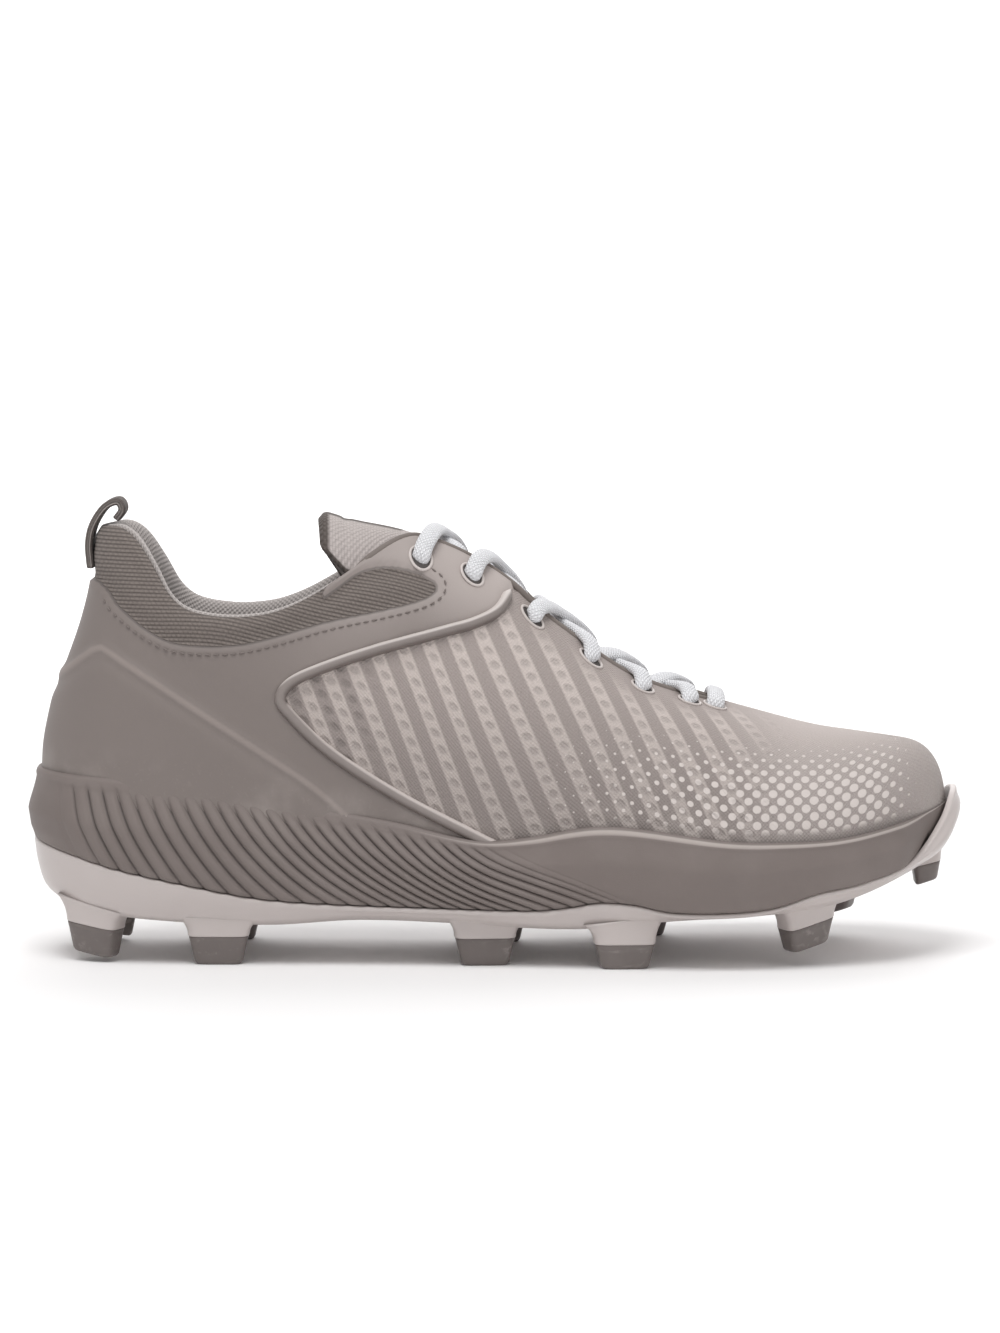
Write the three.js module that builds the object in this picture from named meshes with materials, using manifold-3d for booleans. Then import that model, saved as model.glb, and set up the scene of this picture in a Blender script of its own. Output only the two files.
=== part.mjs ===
// A low baseball cleat for the right foot, in millimetres.
// X runs from the heel to the toe, Y to the inner side of the foot, Z up from the floor.
import * as THREE from "three";
import { mergeVertices } from "three/addons/utils/BufferGeometryUtils.js";
import Module from "manifold-3d";

const wasm = await Module();
wasm.setup();

// Main sizes
const LENGTH = 300; // back of the midsole to the front of the toe bumper
const BALL_WIDTH = 104; // outsole across the ball of the foot
const SOLE_HEIGHT = 60; // floor to the top of the midsole at the heel
const STUD_HEIGHT = 13; // floor to the plate at the heel
const UPPER_HEIGHT = 80; // top of the midsole at the heel to the top of the tongue
const COLLAR_HEIGHT = 77; // top of the midsole at the heel to the top of the collar

// Walls, layers and clearances
const CLEARANCE = 0.3; // between curved pieces that touch on the real shoe
const UPPER_WALL = 2.4;
const SADDLE_THICKNESS = 1.2;
const COUNTER_THICKNESS = 0.9;
const RIM_WIDTH = 3.4;
const RIM_RAISE = 2.6;
const PLATE_FLOOR = 3.2;
const PLATE_WALL = 2.6;
const INSOLE_THICKNESS = 3.5;
const TONGUE_THICKNESS = 4;
const TONGUE_DROP = 1.8; // how far the tongue lies below the wall of the upper
const LACE_DIAMETER = 4.4;
const LACE_LIFT = 0.85; // under the laces where they cross the eyestay
const LOOP_TAPE = 2.3;
const LOOP_WIDTH = 15;
const STUD_LENGTH = 19;
const STUD_WIDTH = 11;

// How far the upper stands inside the outline of the sole
const HEEL_INSET = 7;
const TOE_INSET = 5.2;
const SIDE_INSET = 5.5;

const RIB_PITCH = 5;
const RIB_RAISE = 1.3;
const RIB_START = 9;
const RIB_END = 149;
const EYELET_INSET = 6; // throat edge to the middle of an eyelet

const HALF_BALL = BALL_WIDTH / 2;
const MIDDLE = LENGTH / 2;
const SADDLE_OUT = CLEARANCE + SADDLE_THICKNESS;

// Outline of the sole from above. turn runs from the heel (0) to the toe (1) round one side,
// and the other columns are shares of half the ball width.
const OUTLINE = [
  { turn: 0.0, lateral: 0.0, medial: 0.0, swing: 0.0 },
  { turn: 0.05, lateral: 0.231, medial: 0.231, swing: 0.0 },
  { turn: 0.1, lateral: 0.433, medial: 0.43, swing: 0.0 },
  { turn: 0.15, lateral: 0.596, medial: 0.585, swing: 0.0 },
  { turn: 0.2, lateral: 0.702, medial: 0.685, swing: 0.0 },
  { turn: 0.25, lateral: 0.742, medial: 0.722, swing: 0.0 },
  { turn: 0.3, lateral: 0.756, medial: 0.727, swing: 0.0 },
  { turn: 0.35, lateral: 0.756, medial: 0.702, swing: 0.0 },
  { turn: 0.4, lateral: 0.763, medial: 0.663, swing: 0.0 },
  { turn: 0.45, lateral: 0.792, medial: 0.635, swing: 0.0 },
  { turn: 0.5, lateral: 0.846, medial: 0.65, swing: 0.004 },
  { turn: 0.55, lateral: 0.915, medial: 0.735, swing: 0.01 },
  { turn: 0.6, lateral: 0.982, medial: 0.84, swing: 0.02 },
  { turn: 0.65, lateral: 1.03, medial: 0.915, swing: 0.038 },
  { turn: 0.7, lateral: 1.015, medial: 0.937, swing: 0.063 },
  { turn: 0.75, lateral: 0.937, medial: 0.9, swing: 0.09 },
  { turn: 0.8, lateral: 0.808, medial: 0.798, swing: 0.115 },
  { turn: 0.85, lateral: 0.644, medial: 0.637, swing: 0.135 },
  { turn: 0.9, lateral: 0.452, medial: 0.446, swing: 0.148 },
  { turn: 0.95, lateral: 0.235, medial: 0.233, swing: 0.154 },
  { turn: 1.0, lateral: 0.0, medial: 0.0, swing: 0.154 },
];

// Side view of the sole: lines along the shoe as shares of the sole height.
const MIDSOLE_TOP = [
  { along: 0.0, height: 1.0 },
  { along: 0.107, height: 0.983 },
  { along: 0.19, height: 0.968 },
  { along: 0.246, height: 0.913 },
  { along: 0.304, height: 0.843 },
  { along: 0.35, height: 0.8 },
  { along: 0.398, height: 0.757 },
  { along: 0.462, height: 0.683 },
  { along: 0.495, height: 0.668 },
  { along: 0.54, height: 0.695 },
  { along: 0.579, height: 0.735 },
  { along: 0.607, height: 0.752 },
  { along: 0.643, height: 0.747 },
  { along: 0.739, height: 0.683 },
  { along: 0.792, height: 0.672 },
  { along: 0.862, height: 0.68 },
  { along: 0.931, height: 0.742 },
  { along: 0.978, height: 0.8 },
  { along: 1.0, height: 0.82 },
];
const PLATE_TOP = [
  { along: 0.0, height: 0.642 },
  { along: 0.05, height: 0.577 },
  { along: 0.102, height: 0.507 },
  { along: 0.177, height: 0.427 },
  { along: 0.246, height: 0.362 },
  { along: 0.315, height: 0.333 },
  { along: 0.437, height: 0.315 },
  { along: 0.54, height: 0.31 },
  { along: 0.579, height: 0.333 },
  { along: 0.607, height: 0.358 },
  { along: 0.643, height: 0.35 },
  { along: 0.682, height: 0.313 },
  { along: 0.746, height: 0.312 },
  { along: 0.792, height: 0.337 },
  { along: 0.834, height: 0.4 },
  { along: 0.885, height: 0.445 },
  { along: 0.943, height: 0.548 },
  { along: 0.978, height: 0.742 },
  { along: 0.993, height: 0.88 },
  { along: 1.0, height: 0.89 },
];
const PLATE_BOTTOM = [
  { along: 0.0, height: 0.4 },
  { along: 0.026, height: 0.335 },
  { along: 0.055, height: 0.29 },
  { along: 0.13, height: 0.235 },
  { along: 0.26, height: 0.208 },
  { along: 0.354, height: 0.235 },
  { along: 0.447, height: 0.225 },
  { along: 0.526, height: 0.205 },
  { along: 0.591, height: 0.205 },
  { along: 0.69, height: 0.255 },
  { along: 0.771, height: 0.278 },
  { along: 0.845, height: 0.315 },
  { along: 0.89, height: 0.372 },
  { along: 0.95, height: 0.485 },
  { along: 0.975, height: 0.545 },
  { along: 0.993, height: 0.655 },
  { along: 1.0, height: 0.7 },
];
const FOOTBED = [
  { along: 0.0, height: 0.75 },
  { along: 0.2, height: 0.725 },
  { along: 0.35, height: 0.617 },
  { along: 0.5, height: 0.525 },
  { along: 0.65, height: 0.487 },
  { along: 0.8, height: 0.505 },
  { along: 0.9, height: 0.565 },
  { along: 0.955, height: 0.64 },
  { along: 1.0, height: 0.74 },
];
// Share of the side wall's height at which the heel crease runs.
const CREASE = [
  { along: 0.0, height: 0.4 },
  { along: 0.1, height: 0.52 },
  { along: 0.2, height: 0.64 },
  { along: 0.4, height: 0.6 },
  { along: 1.0, height: 0.5 },
];
// How far a rib leans forward on its way down, per length of height.
const RIB_LEAN = [
  { along: 0.0, lean: 0.0 },
  { along: 0.03, lean: 0.35 },
  { along: 0.12, lean: 0.6 },
  { along: 0.22, lean: 1.0 },
  { along: 0.37, lean: 1.5 },
  { along: 0.5, lean: 2.1 },
  { along: 0.6, lean: 1.7 },
  { along: 0.75, lean: 0.6 },
  { along: 0.86, lean: 0.0 },
  { along: 1.0, lean: 0.0 },
];

// Sections of the upper from the heel to the toe. The ridge is the top middle line, closed over
// the collar, which is cut out later: along is a share of the length, up of the upper height
// from the top of the midsole. full is the exponent of the section, bulge a share of half the ball.
// The first and last rows mirror their neighbours, so the shape runs smoothly round both ends.
const SECTIONS = [
  { turn: -0.1, along: 0.125, up: 1.33, full: 2.6, inner: 2.6, taper: 0.06, bulge: 0.0 },
  { turn: 0.0, along: 0.113, up: 1.31, full: 2.6, inner: 2.6, taper: 0.06, bulge: 0.0 },
  { turn: 0.1, along: 0.125, up: 1.33, full: 2.6, inner: 2.6, taper: 0.06, bulge: 0.0 },
  { turn: 0.2, along: 0.173, up: 1.3, full: 2.6, inner: 2.6, taper: 0.06, bulge: 0.01 },
  { turn: 0.3, along: 0.247, up: 1.2, full: 2.6, inner: 2.6, taper: 0.06, bulge: 0.015 },
  { turn: 0.35, along: 0.29, up: 1.11, full: 2.6, inner: 2.65, taper: 0.05, bulge: 0.02 },
  { turn: 0.4, along: 0.345, up: 1.04, full: 2.5, inner: 2.65, taper: 0.03, bulge: 0.02 },
  { turn: 0.45, along: 0.415, up: 0.985, full: 2.4, inner: 2.6, taper: 0.0, bulge: 0.02 },
  { turn: 0.5, along: 0.49, up: 0.845, full: 2.2, inner: 2.45, taper: 0.0, bulge: 0.03 },
  { turn: 0.55, along: 0.565, up: 0.612, full: 2.0, inner: 2.25, taper: 0.0, bulge: 0.04 },
  { turn: 0.6, along: 0.64, up: 0.4, full: 1.95, inner: 2.1, taper: 0.0, bulge: 0.05 },
  { turn: 0.65, along: 0.71, up: 0.295, full: 2.0, inner: 2.1, taper: 0.0, bulge: 0.055 },
  { turn: 0.7, along: 0.78, up: 0.215, full: 2.15, inner: 2.2, taper: 0.0, bulge: 0.055 },
  { turn: 0.75, along: 0.84, up: 0.155, full: 2.3, inner: 2.3, taper: 0.0, bulge: 0.05 },
  { turn: 0.8, along: 0.882, up: 0.128, full: 2.45, inner: 2.45, taper: 0.0, bulge: 0.04 },
  { turn: 0.85, along: 0.905, up: 0.113, full: 2.55, inner: 2.55, taper: 0.0, bulge: 0.03 },
  { turn: 0.9, along: 0.917, up: 0.105, full: 2.6, inner: 2.6, taper: 0.0, bulge: 0.02 },
  { turn: 0.95, along: 0.923, up: 0.101, full: 2.65, inner: 2.65, taper: 0.0, bulge: 0.01 },
  { turn: 1.0, along: 0.925, up: 0.1, full: 2.65, inner: 2.65, taper: 0.0, bulge: 0.0 },
  { turn: 1.05, along: 0.923, up: 0.101, full: 2.65, inner: 2.65, taper: 0.0, bulge: 0.01 },
];
// Back of the heel: how far it stands off the straight line, as a share of the length.
const HEEL_CURVE = [
  { rise: 0.0, back: 0.0 },
  { rise: 0.1, back: 0.009 },
  { rise: 0.2, back: 0.0155 },
  { rise: 0.36, back: 0.0148 },
  { rise: 0.5, back: 0.008 },
  { rise: 0.61, back: 0.0065 },
  { rise: 0.72, back: 0.0105 },
  { rise: 0.8, back: 0.0115 },
  { rise: 1.0, back: 0.0 },
];

// Side views of the edges, along as a share of the length, up as a share of the upper height
// (of the collar height for the collar) above the top of the midsole.
const COLLAR_EDGE = [
  { along: -0.05, up: 1.0 },
  { along: 0.08, up: 1.0 },
  { along: 0.102, up: 1.005 },
  { along: 0.121, up: 0.96 },
  { along: 0.14, up: 0.855 },
  { along: 0.158, up: 0.735 },
  { along: 0.177, up: 0.675 },
  { along: 0.211, up: 0.648 },
  { along: 0.241, up: 0.648 },
  { along: 0.269, up: 0.667 },
  { along: 0.299, up: 0.715 },
  { along: 0.33, up: 0.785 },
  { along: 0.363, up: 0.87 },
  { along: 0.395, up: 0.945 },
  { along: 0.42, up: 0.97 },
];
const KNIT_EDGE = [
  { along: -0.05, up: 0.762 },
  { along: 0.07, up: 0.762 },
  { along: 0.107, up: 0.65 },
  { along: 0.135, up: 0.57 },
  { along: 0.168, up: 0.517 },
  { along: 0.223, up: 0.511 },
  { along: 0.269, up: 0.545 },
  { along: 0.321, up: 0.6 },
  { along: 0.384, up: 0.648 },
  { along: 0.425, up: 0.69 },
  { along: 0.437, up: 0.735 },
  { along: 0.415, up: 0.785 },
  { along: 0.384, up: 0.805 },
  { along: 0.357, up: 0.785 },
  { along: 0.335, up: 0.73 },
  { along: 0.32, up: 0.69 },
];
const RIM_LINE = [
  { along: 0.53, up: 0.78 },
  { along: 0.513, up: 0.705 },
  { along: 0.5, up: 0.635 },
  { along: 0.475, up: 0.592 },
  { along: 0.447, up: 0.565 },
  { along: 0.372, up: 0.49 },
  { along: 0.31, up: 0.412 },
  { along: 0.283, up: 0.36 },
  { along: 0.274, up: 0.302 },
  { along: 0.283, up: 0.245 },
  { along: 0.325, up: 0.095 },
  { along: 0.397, up: -0.078 },
  { along: 0.472, up: -0.221 },
  { along: 0.52, up: -0.31 },
];
const COUNTER_EDGE = [
  { along: -0.05, up: 0.325 },
  { along: 0.02, up: 0.325 },
  { along: 0.045, up: 0.375 },
  { along: 0.072, up: 0.455 },
  { along: 0.086, up: 0.487 },
  { along: 0.1, up: 0.468 },
  { along: 0.18, up: 0.275 },
  { along: 0.26, up: 0.079 },
  { along: 0.304, up: -0.03 },
  { along: 0.333, up: -0.12 },
  { along: 0.36, up: -0.22 },
];
// Throat from above: half width as a share of half the ball width.
const THROAT = [
  { along: 0.36, half: 0.3 },
  { along: 0.417, half: 0.27 },
  { along: 0.487, half: 0.24 },
  { along: 0.567, half: 0.212 },
  { along: 0.667, half: 0.173 },
  { along: 0.715, half: 0.145 },
  { along: 0.736, half: 0.1 },
  { along: 0.745, half: 0.0 },
];
const TONGUE = [
  { along: 0.318, half: 0.4 },
  { along: 0.36, half: 0.46 },
  { along: 0.42, half: 0.46 },
  { along: 0.5, half: 0.44 },
  { along: 0.6, half: 0.38 },
  { along: 0.7, half: 0.3 },
  { along: 0.76, half: 0.22 },
];
// Eyelet rows from the ankle to the toe, and whether a lace lies over the eyestay there
// on its way to the next row (ahead) or from the row before (behind).
const EYELETS = [
  { along: 0.42, ahead: true, behind: false },
  { along: 0.473, ahead: true, behind: false },
  { along: 0.538, ahead: true, behind: false },
  { along: 0.6, ahead: false, behind: true },
  { along: 0.655, ahead: false, behind: true },
  { along: 0.705, ahead: false, behind: true },
];
const FRONT_BAR = 0.732; // place of the straight bar at the front of the throat
// Heel tape in side view.
const LOOP_LINE = [
  { along: 0.0695, up: 0.82 },
  { along: 0.0675, up: 0.92 },
  { along: 0.0715, up: 1.0 },
  { along: 0.084, up: 1.075 },
  { along: 0.098, up: 1.1 },
  { along: 0.103, up: 1.066 },
  { along: 0.0955, up: 1.022 },
];
// Studs: place as shares of the length and of half the ball, sizes as shares of a plain stud.
// under is how far below the plate the tip starts at the rear and front, end how high
// the floor end lies there, both as shares of the stud height.
const STUDS = [
  { name: "heel_rear_lateral", along: 0.077, side: -0.44, long: 0.895, wide: 1.0, turn: -24,
    underRear: 0.371, underFront: 0.345, endRear: 0.3, endFront: 0.08 },
  { name: "heel_rear_medial", along: 0.08, side: 0.43, long: 0.895, wide: 1.0, turn: 24,
    underRear: 0.355, underFront: 0.336, endRear: 0.3, endFront: 0.08 },
  { name: "heel_front_lateral", along: 0.208, side: -0.55, long: 1.0, wide: 1.0, turn: 0,
    underRear: 0.323, underFront: 0.273, endRear: 0, endFront: 0 },
  { name: "heel_front_medial", along: 0.212, side: 0.52, long: 1.0, wide: 1.0, turn: 0,
    underRear: 0.318, underFront: 0.272, endRear: 0, endFront: 0 },
  { name: "waist_lateral", along: 0.488, side: -0.6, long: 1.0, wide: 0.909, turn: 4,
    underRear: 0.36, underFront: 0.281, endRear: 0, endFront: 0 },
  { name: "waist_medial", along: 0.5, side: 0.4, long: 1.0, wide: 0.909, turn: 8,
    underRear: 0.345, underFront: 0.272, endRear: 0, endFront: 0 },
  { name: "ball_lateral", along: 0.634, side: -0.74, long: 1.0, wide: 1.091, turn: 4,
    underRear: 0.365, underFront: 0.522, endRear: 0, endFront: 0 },
  { name: "ball_medial", along: 0.657, side: 0.68, long: 1.0, wide: 1.091, turn: 10,
    underRear: 0.416, underFront: 0.574, endRear: 0, endFront: 0 },
  { name: "front_lateral", along: 0.825, side: -0.62, long: 0.842, wide: 1.091, turn: 24,
    underRear: 0.452, underFront: 0.281, endRear: 0.3, endFront: 0.62 },
  { name: "front_medial", along: 0.868, side: 0.66, long: 0.842, wide: 1.091, turn: -22,
    underRear: 0.491, underFront: 0.402, endRear: 0.38, endFront: 0.78 },
  { name: "toe", along: 0.962, side: 0.15, long: 0.474, wide: 1.364, turn: 0,
    underRear: 0.16, underFront: 0.336, endRear: 1.55, endFront: 1.78 },
];
const STUD_TAPER = 0.76; // floor end of a stud as a share of its top
const PEDESTAL_FLARE = 1.24; // pedestal where it leaves the plate, as a share of the tip

// Smooth value of one column of a table at a place in another column.
function lookUp(rows, key, at, column) {
  const last = rows.length - 1;
  if (at <= rows[0][key]) return rows[0][column];
  if (at >= rows[last][key]) return rows[last][column];
  let i = 0;
  while (rows[i + 1][key] < at) i += 1;
  const before = rows[Math.max(i - 1, 0)];
  const from = rows[i];
  const to = rows[i + 1];
  const after = rows[Math.min(i + 2, last)];
  const span = to[key] - from[key];
  const u = (at - from[key]) / span;
  const slopeFrom = ((to[column] - before[column]) / (to[key] - before[key])) * span;
  const slopeTo = ((after[column] - from[column]) / (after[key] - from[key])) * span;
  const u2 = u * u;
  const u3 = u2 * u;
  return (2 * u3 - 3 * u2 + 1) * from[column] + (u3 - 2 * u2 + u) * slopeFrom
    + (3 * u2 - 2 * u3) * to[column] + (u3 - u2) * slopeTo;
}

const mix = (a, b, share) => a + (b - a) * share;
const fade = (from, to, at) => THREE.MathUtils.smoothstep(at, from, to);
const soleLine = (rows, x) => SOLE_HEIGHT * lookUp(rows, "along", x / LENGTH, "height");
const turnOf = (x) => Math.acos(THREE.MathUtils.clamp(1 - (2 * x) / LENGTH, -1, 1)) / Math.PI;
const sweepShare = (turn) => (1 - Math.cos(Math.PI * turn)) / 2;
const swingAt = (turn) => HALF_BALL * lookUp(OUTLINE, "turn", turn, "swing");

// Half width of the sole outline on one side (side -1 is lateral, 1 is medial).
function halfWidth(side, turn) {
  return HALF_BALL * lookUp(OUTLINE, "turn", turn, side < 0 ? "lateral" : "medial");
}

// Point on the outline of the sole, moved outward by a distance, x counted from the heel.
function outlinePoint(side, turn, outward) {
  const place = (at) => new THREE.Vector2(
    LENGTH * sweepShare(at),
    swingAt(at) + side * halfWidth(side, at),
  );
  const here = place(turn);
  const step = 0.004;
  const ahead = place(Math.min(turn + step, 1));
  const behind = place(Math.max(turn - step, 0));
  const along = ahead.sub(behind).normalize();
  const normal = new THREE.Vector2(-along.y * side, along.x * side);
  if (turn <= 0) normal.set(-1, 0);
  if (turn >= 1) normal.set(1, 0);
  return here.addScaledVector(normal, outward);
}

// Point on the outer face of the upper. rise runs from the sole (0) to the ridge (1).
function upperPoint(side, turn, rise) {
  const angle = (rise * Math.PI) / 2;
  const full = lookUp(SECTIONS, "turn", turn, side < 0 ? "full" : "inner");
  const up = Math.sin(angle) ** (2 / full);
  const out = Math.cos(angle) ** (2 / full);
  const inset = SIDE_INSET * Math.sin(Math.PI * turn) ** 0.6;
  const half = Math.max(halfWidth(side, turn) - inset, 0);
  const footX = mix(HEEL_INSET, LENGTH - TOE_INSET, sweepShare(turn));
  const footZ = soleLine(FOOTBED, footX) + CLEARANCE;
  const ridgeX = LENGTH * lookUp(SECTIONS, "turn", turn, "along");
  const ridgeZ = SOLE_HEIGHT + UPPER_HEIGHT * lookUp(SECTIONS, "turn", turn, "up");
  const lean = mix(up, 1 - out, fade(0.6, 0.85, turn));
  const heel = Math.max(1 - (turn / 0.3) ** 2, 0) ** 2;
  const back = LENGTH * lookUp(HEEL_CURVE, "rise", up, "back") * heel;
  const bulge = HALF_BALL * lookUp(SECTIONS, "turn", turn, "bulge") * 4 * up * (1 - up);
  const narrow = 1 - lookUp(SECTIONS, "turn", turn, "taper") * up;
  return new THREE.Vector3(
    mix(footX, ridgeX, lean) - back,
    swingAt(turn) + side * (half * out * narrow + bulge * out),
    mix(footZ, ridgeZ, up),
  );
}

// Outward direction of the upper at a point, from its neighbours.
function upperNormal(side, turn, rise) {
  const step = 0.01;
  const t = THREE.MathUtils.clamp(turn, step, 1 - step);
  const r = THREE.MathUtils.clamp(rise, step, 1 - step);
  const along = upperPoint(side, t + step, r).sub(upperPoint(side, t - step, r));
  const upward = upperPoint(side, t, r + step).sub(upperPoint(side, t, r - step));
  return along.cross(upward).multiplyScalar(-side).normalize();
}

const UPPER_COLUMNS = 27;
const UPPER_LEVELS = 10;

// Loop of places round the shoe: heel, lateral side, toe, medial side.
function loopOf(columns) {
  const loop = [];
  for (let i = 0; i <= columns; i += 1) loop.push({ side: -1, turn: i / columns });
  for (let i = columns - 1; i > 0; i -= 1) loop.push({ side: 1, turn: i / columns });
  return loop;
}

// Rows of the upper's outer face, each a loop, with the outward direction of every point.
function upperRows() {
  const loop = loopOf(UPPER_COLUMNS);
  const rows = [];
  for (let j = 0; j <= UPPER_LEVELS; j += 1) {
    const rise = j / UPPER_LEVELS;
    rows.push(loop.map(({ side, turn }) => upperPoint(side, turn, rise)));
  }
  const count = loop.length;
  const normals = rows.map((row, j) => row.map((point, k) => {
    const level = Math.min(j, UPPER_LEVELS - 1);
    const onRidge = j === UPPER_LEVELS && k % UPPER_COLUMNS !== 0;
    const alongRow = rows[onRidge ? j : level];
    const along = alongRow[(k + 1) % count].clone().sub(alongRow[(k + count - 1) % count]);
    const above = rows[Math.min(j + 1, UPPER_LEVELS)][k];
    const below = rows[Math.max(j - 1, 0)][k];
    return along.cross(above.clone().sub(below)).normalize();
  }));
  for (let k = 0; k < count; k += 1) {
    const twin = (count - k) % count;
    if (twin <= k) continue;
    const shared = normals[UPPER_LEVELS][k].clone().add(normals[UPPER_LEVELS][twin]).normalize();
    normals[UPPER_LEVELS][k] = shared;
    normals[UPPER_LEVELS][twin] = shared.clone();
  }
  return { rows, normals };
}

const UPPER_GRID = upperRows();

// The upper's rows moved outward by a distance (inward if negative).
function offsetRows(outward) {
  return UPPER_GRID.rows.map((row, j) => row.map((point, k) => {
    const moved = point.clone().addScaledVector(UPPER_GRID.normals[j][k], outward);
    if (j === 0) moved.z = point.z;
    return moved;
  }));
}

// Mesh of quads between neighbouring loops, optionally closed across the first and the last.
function meshOfLoops(loops, closeFirst, closeLast) {
  const count = loops[0].length;
  const positions = loops.flat().flatMap((p) => [p.x, p.y, p.z]);
  const index = [];
  for (let j = 0; j + 1 < loops.length; j += 1) {
    for (let k = 0; k < count; k += 1) {
      const a = j * count + k;
      const b = j * count + ((k + 1) % count);
      index.push(a, b, b + count, a, b + count, a + count);
    }
  }
  const close = (level, flip) => {
    const at = (k) => level * count + ((k + count) % count);
    for (let k = 0; k < count / 2; k += 1) {
      const quad = [at(k), at(k + 1), at(-k - 1), at(-k)];
      if (flip) quad.reverse();
      if (k > 0 && k + 1 < count / 2) {
        index.push(quad[0], quad[2], quad[1], quad[0], quad[3], quad[2]);
      } else {
        const three = [...new Set(quad)];
        index.push(three[0], three[2], three[1]);
      }
    }
  };
  if (closeFirst) close(0, false);
  if (closeLast) close(loops.length - 1, true);
  const geometry = new THREE.BufferGeometry();
  geometry.setAttribute("position", new THREE.Float32BufferAttribute(positions, 3));
  geometry.setIndex(index);
  return geometry;
}

// A manifold solid of a closed geometry, turned outward if its volume comes out negative.
function solidOf(geometry) {
  const bare = geometry.clone();
  bare.deleteAttribute("normal");
  bare.deleteAttribute("uv");
  const merged = mergeVertices(bare, 1e-4);
  const triangles = [];
  const source = merged.index.array;
  for (let i = 0; i < source.length; i += 3) {
    const [a, b, c] = [source[i], source[i + 1], source[i + 2]];
    if (a !== b && b !== c && a !== c) triangles.push([a, b, c]);
  }
  const corner = (i) => new THREE.Vector3().fromBufferAttribute(merged.attributes.position, i);
  const volume = triangles.reduce((sum, [a, b, c]) => (
    sum + corner(a).dot(corner(b).cross(corner(c))) / 6), 0);
  const turned = volume < 0 ? triangles.map(([a, b, c]) => [a, c, b]) : triangles;
  return new wasm.Manifold(new wasm.Mesh({
    numProp: 3,
    vertProperties: new Float32Array(merged.attributes.position.array),
    triVerts: new Uint32Array(turned.flat()),
  }));
}

function geometryOf(solid) {
  const mesh = solid.getMesh();
  const geometry = new THREE.BufferGeometry();
  geometry.setAttribute("position", new THREE.BufferAttribute(mesh.vertProperties, 3));
  geometry.setIndex(new THREE.BufferAttribute(mesh.triVerts, 1));
  return geometry;
}

// Shell between two faces that follow the upper.
function upperShell(inside, outside) {
  const outer = offsetRows(outside);
  const inner = offsetRows(inside);
  return solidOf(meshOfLoops([...inner.reverse(), ...outer], false, false));
}

const sidePoint = (row, base = UPPER_HEIGHT) => new THREE.Vector2(
  row.along * LENGTH,
  SOLE_HEIGHT + row.up * base,
);

// Smooth run of points through side-view rows.
function smoothLine(points, steps) {
  const curve = new THREE.CatmullRomCurve3(
    points.map((p) => new THREE.Vector3(p.x, p.y, 0)), false, "centripetal",
  );
  return curve.getPoints(steps).map((p) => new THREE.Vector2(p.x, p.y));
}

// Prism through the shoe from a side-view outline.
function sidePrism(points, width = 2 * BALL_WIDTH, y = 0) {
  const geometry = new THREE.ExtrudeGeometry(new THREE.Shape(points), {
    depth: width, bevelEnabled: false, steps: 1,
  });
  geometry.rotateX(Math.PI / 2);
  geometry.translate(0, y + width / 2, 0);
  return solidOf(geometry);
}

// Band of a given width along a side-view line.
function stripOf(points, width) {
  const sides = [[], []];
  points.forEach((point, i) => {
    const ahead = points[Math.min(i + 1, points.length - 1)];
    const behind = points[Math.max(i - 1, 0)];
    const along = ahead.clone().sub(behind).normalize();
    const across = new THREE.Vector2(-along.y, along.x).multiplyScalar(width / 2);
    sides[0].push(point.clone().add(across));
    sides[1].push(point.clone().sub(across));
  });
  return [...sides[0], ...sides[1].reverse()];
}

// Everything above the collar edge, and the throat slot from above.
function openingCutters() {
  const edge = smoothLine(COLLAR_EDGE.map((row) => sidePoint(row, COLLAR_HEIGHT)), 26);
  const high = SOLE_HEIGHT + 3 * UPPER_HEIGHT;
  const first = edge[0];
  const last = edge[edge.length - 1];
  const collar = sidePrism([...edge, new THREE.Vector2(last.x, high),
    new THREE.Vector2(first.x, high)]);
  const lateral = [];
  const medial = [];
  for (const row of THROAT) {
    const x = row.along * LENGTH;
    const middle = swingAt(turnOf(x));
    lateral.push(new THREE.Vector2(x, middle - row.half * HALF_BALL));
    medial.unshift(new THREE.Vector2(x, middle + row.half * HALF_BALL));
  }
  const outline = [...lateral, ...medial.slice(1)];
  const slot = new THREE.ExtrudeGeometry(new THREE.Shape(outline), {
    depth: 3 * UPPER_HEIGHT, bevelEnabled: false, steps: 1,
  });
  slot.translate(0, 0, SOLE_HEIGHT);
  return { collar, slot: solidOf(slot) };
}

const OPENINGS = openingCutters();
const openUp = (solid) => solid.subtract(OPENINGS.collar).subtract(OPENINGS.slot);

function makeUpper() {
  return openUp(upperShell(-UPPER_WALL, 0));
}

// Top line of the midsole as the lower limit of what is laid on the upper, toe to heel.
function aboveMidsole(from, to) {
  const points = [];
  for (let i = 0; i <= 20; i += 1) {
    const x = mix(from, to, i / 20);
    points.push(new THREE.Vector2(x, soleLine(MIDSOLE_TOP, x) + CLEARANCE));
  }
  return points;
}

const rimLine = () => smoothLine(RIM_LINE.map((row) => sidePoint(row)), 26);
const KEEP_OUT = -0.05 * LENGTH; // start of the side views, behind the heel

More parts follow.
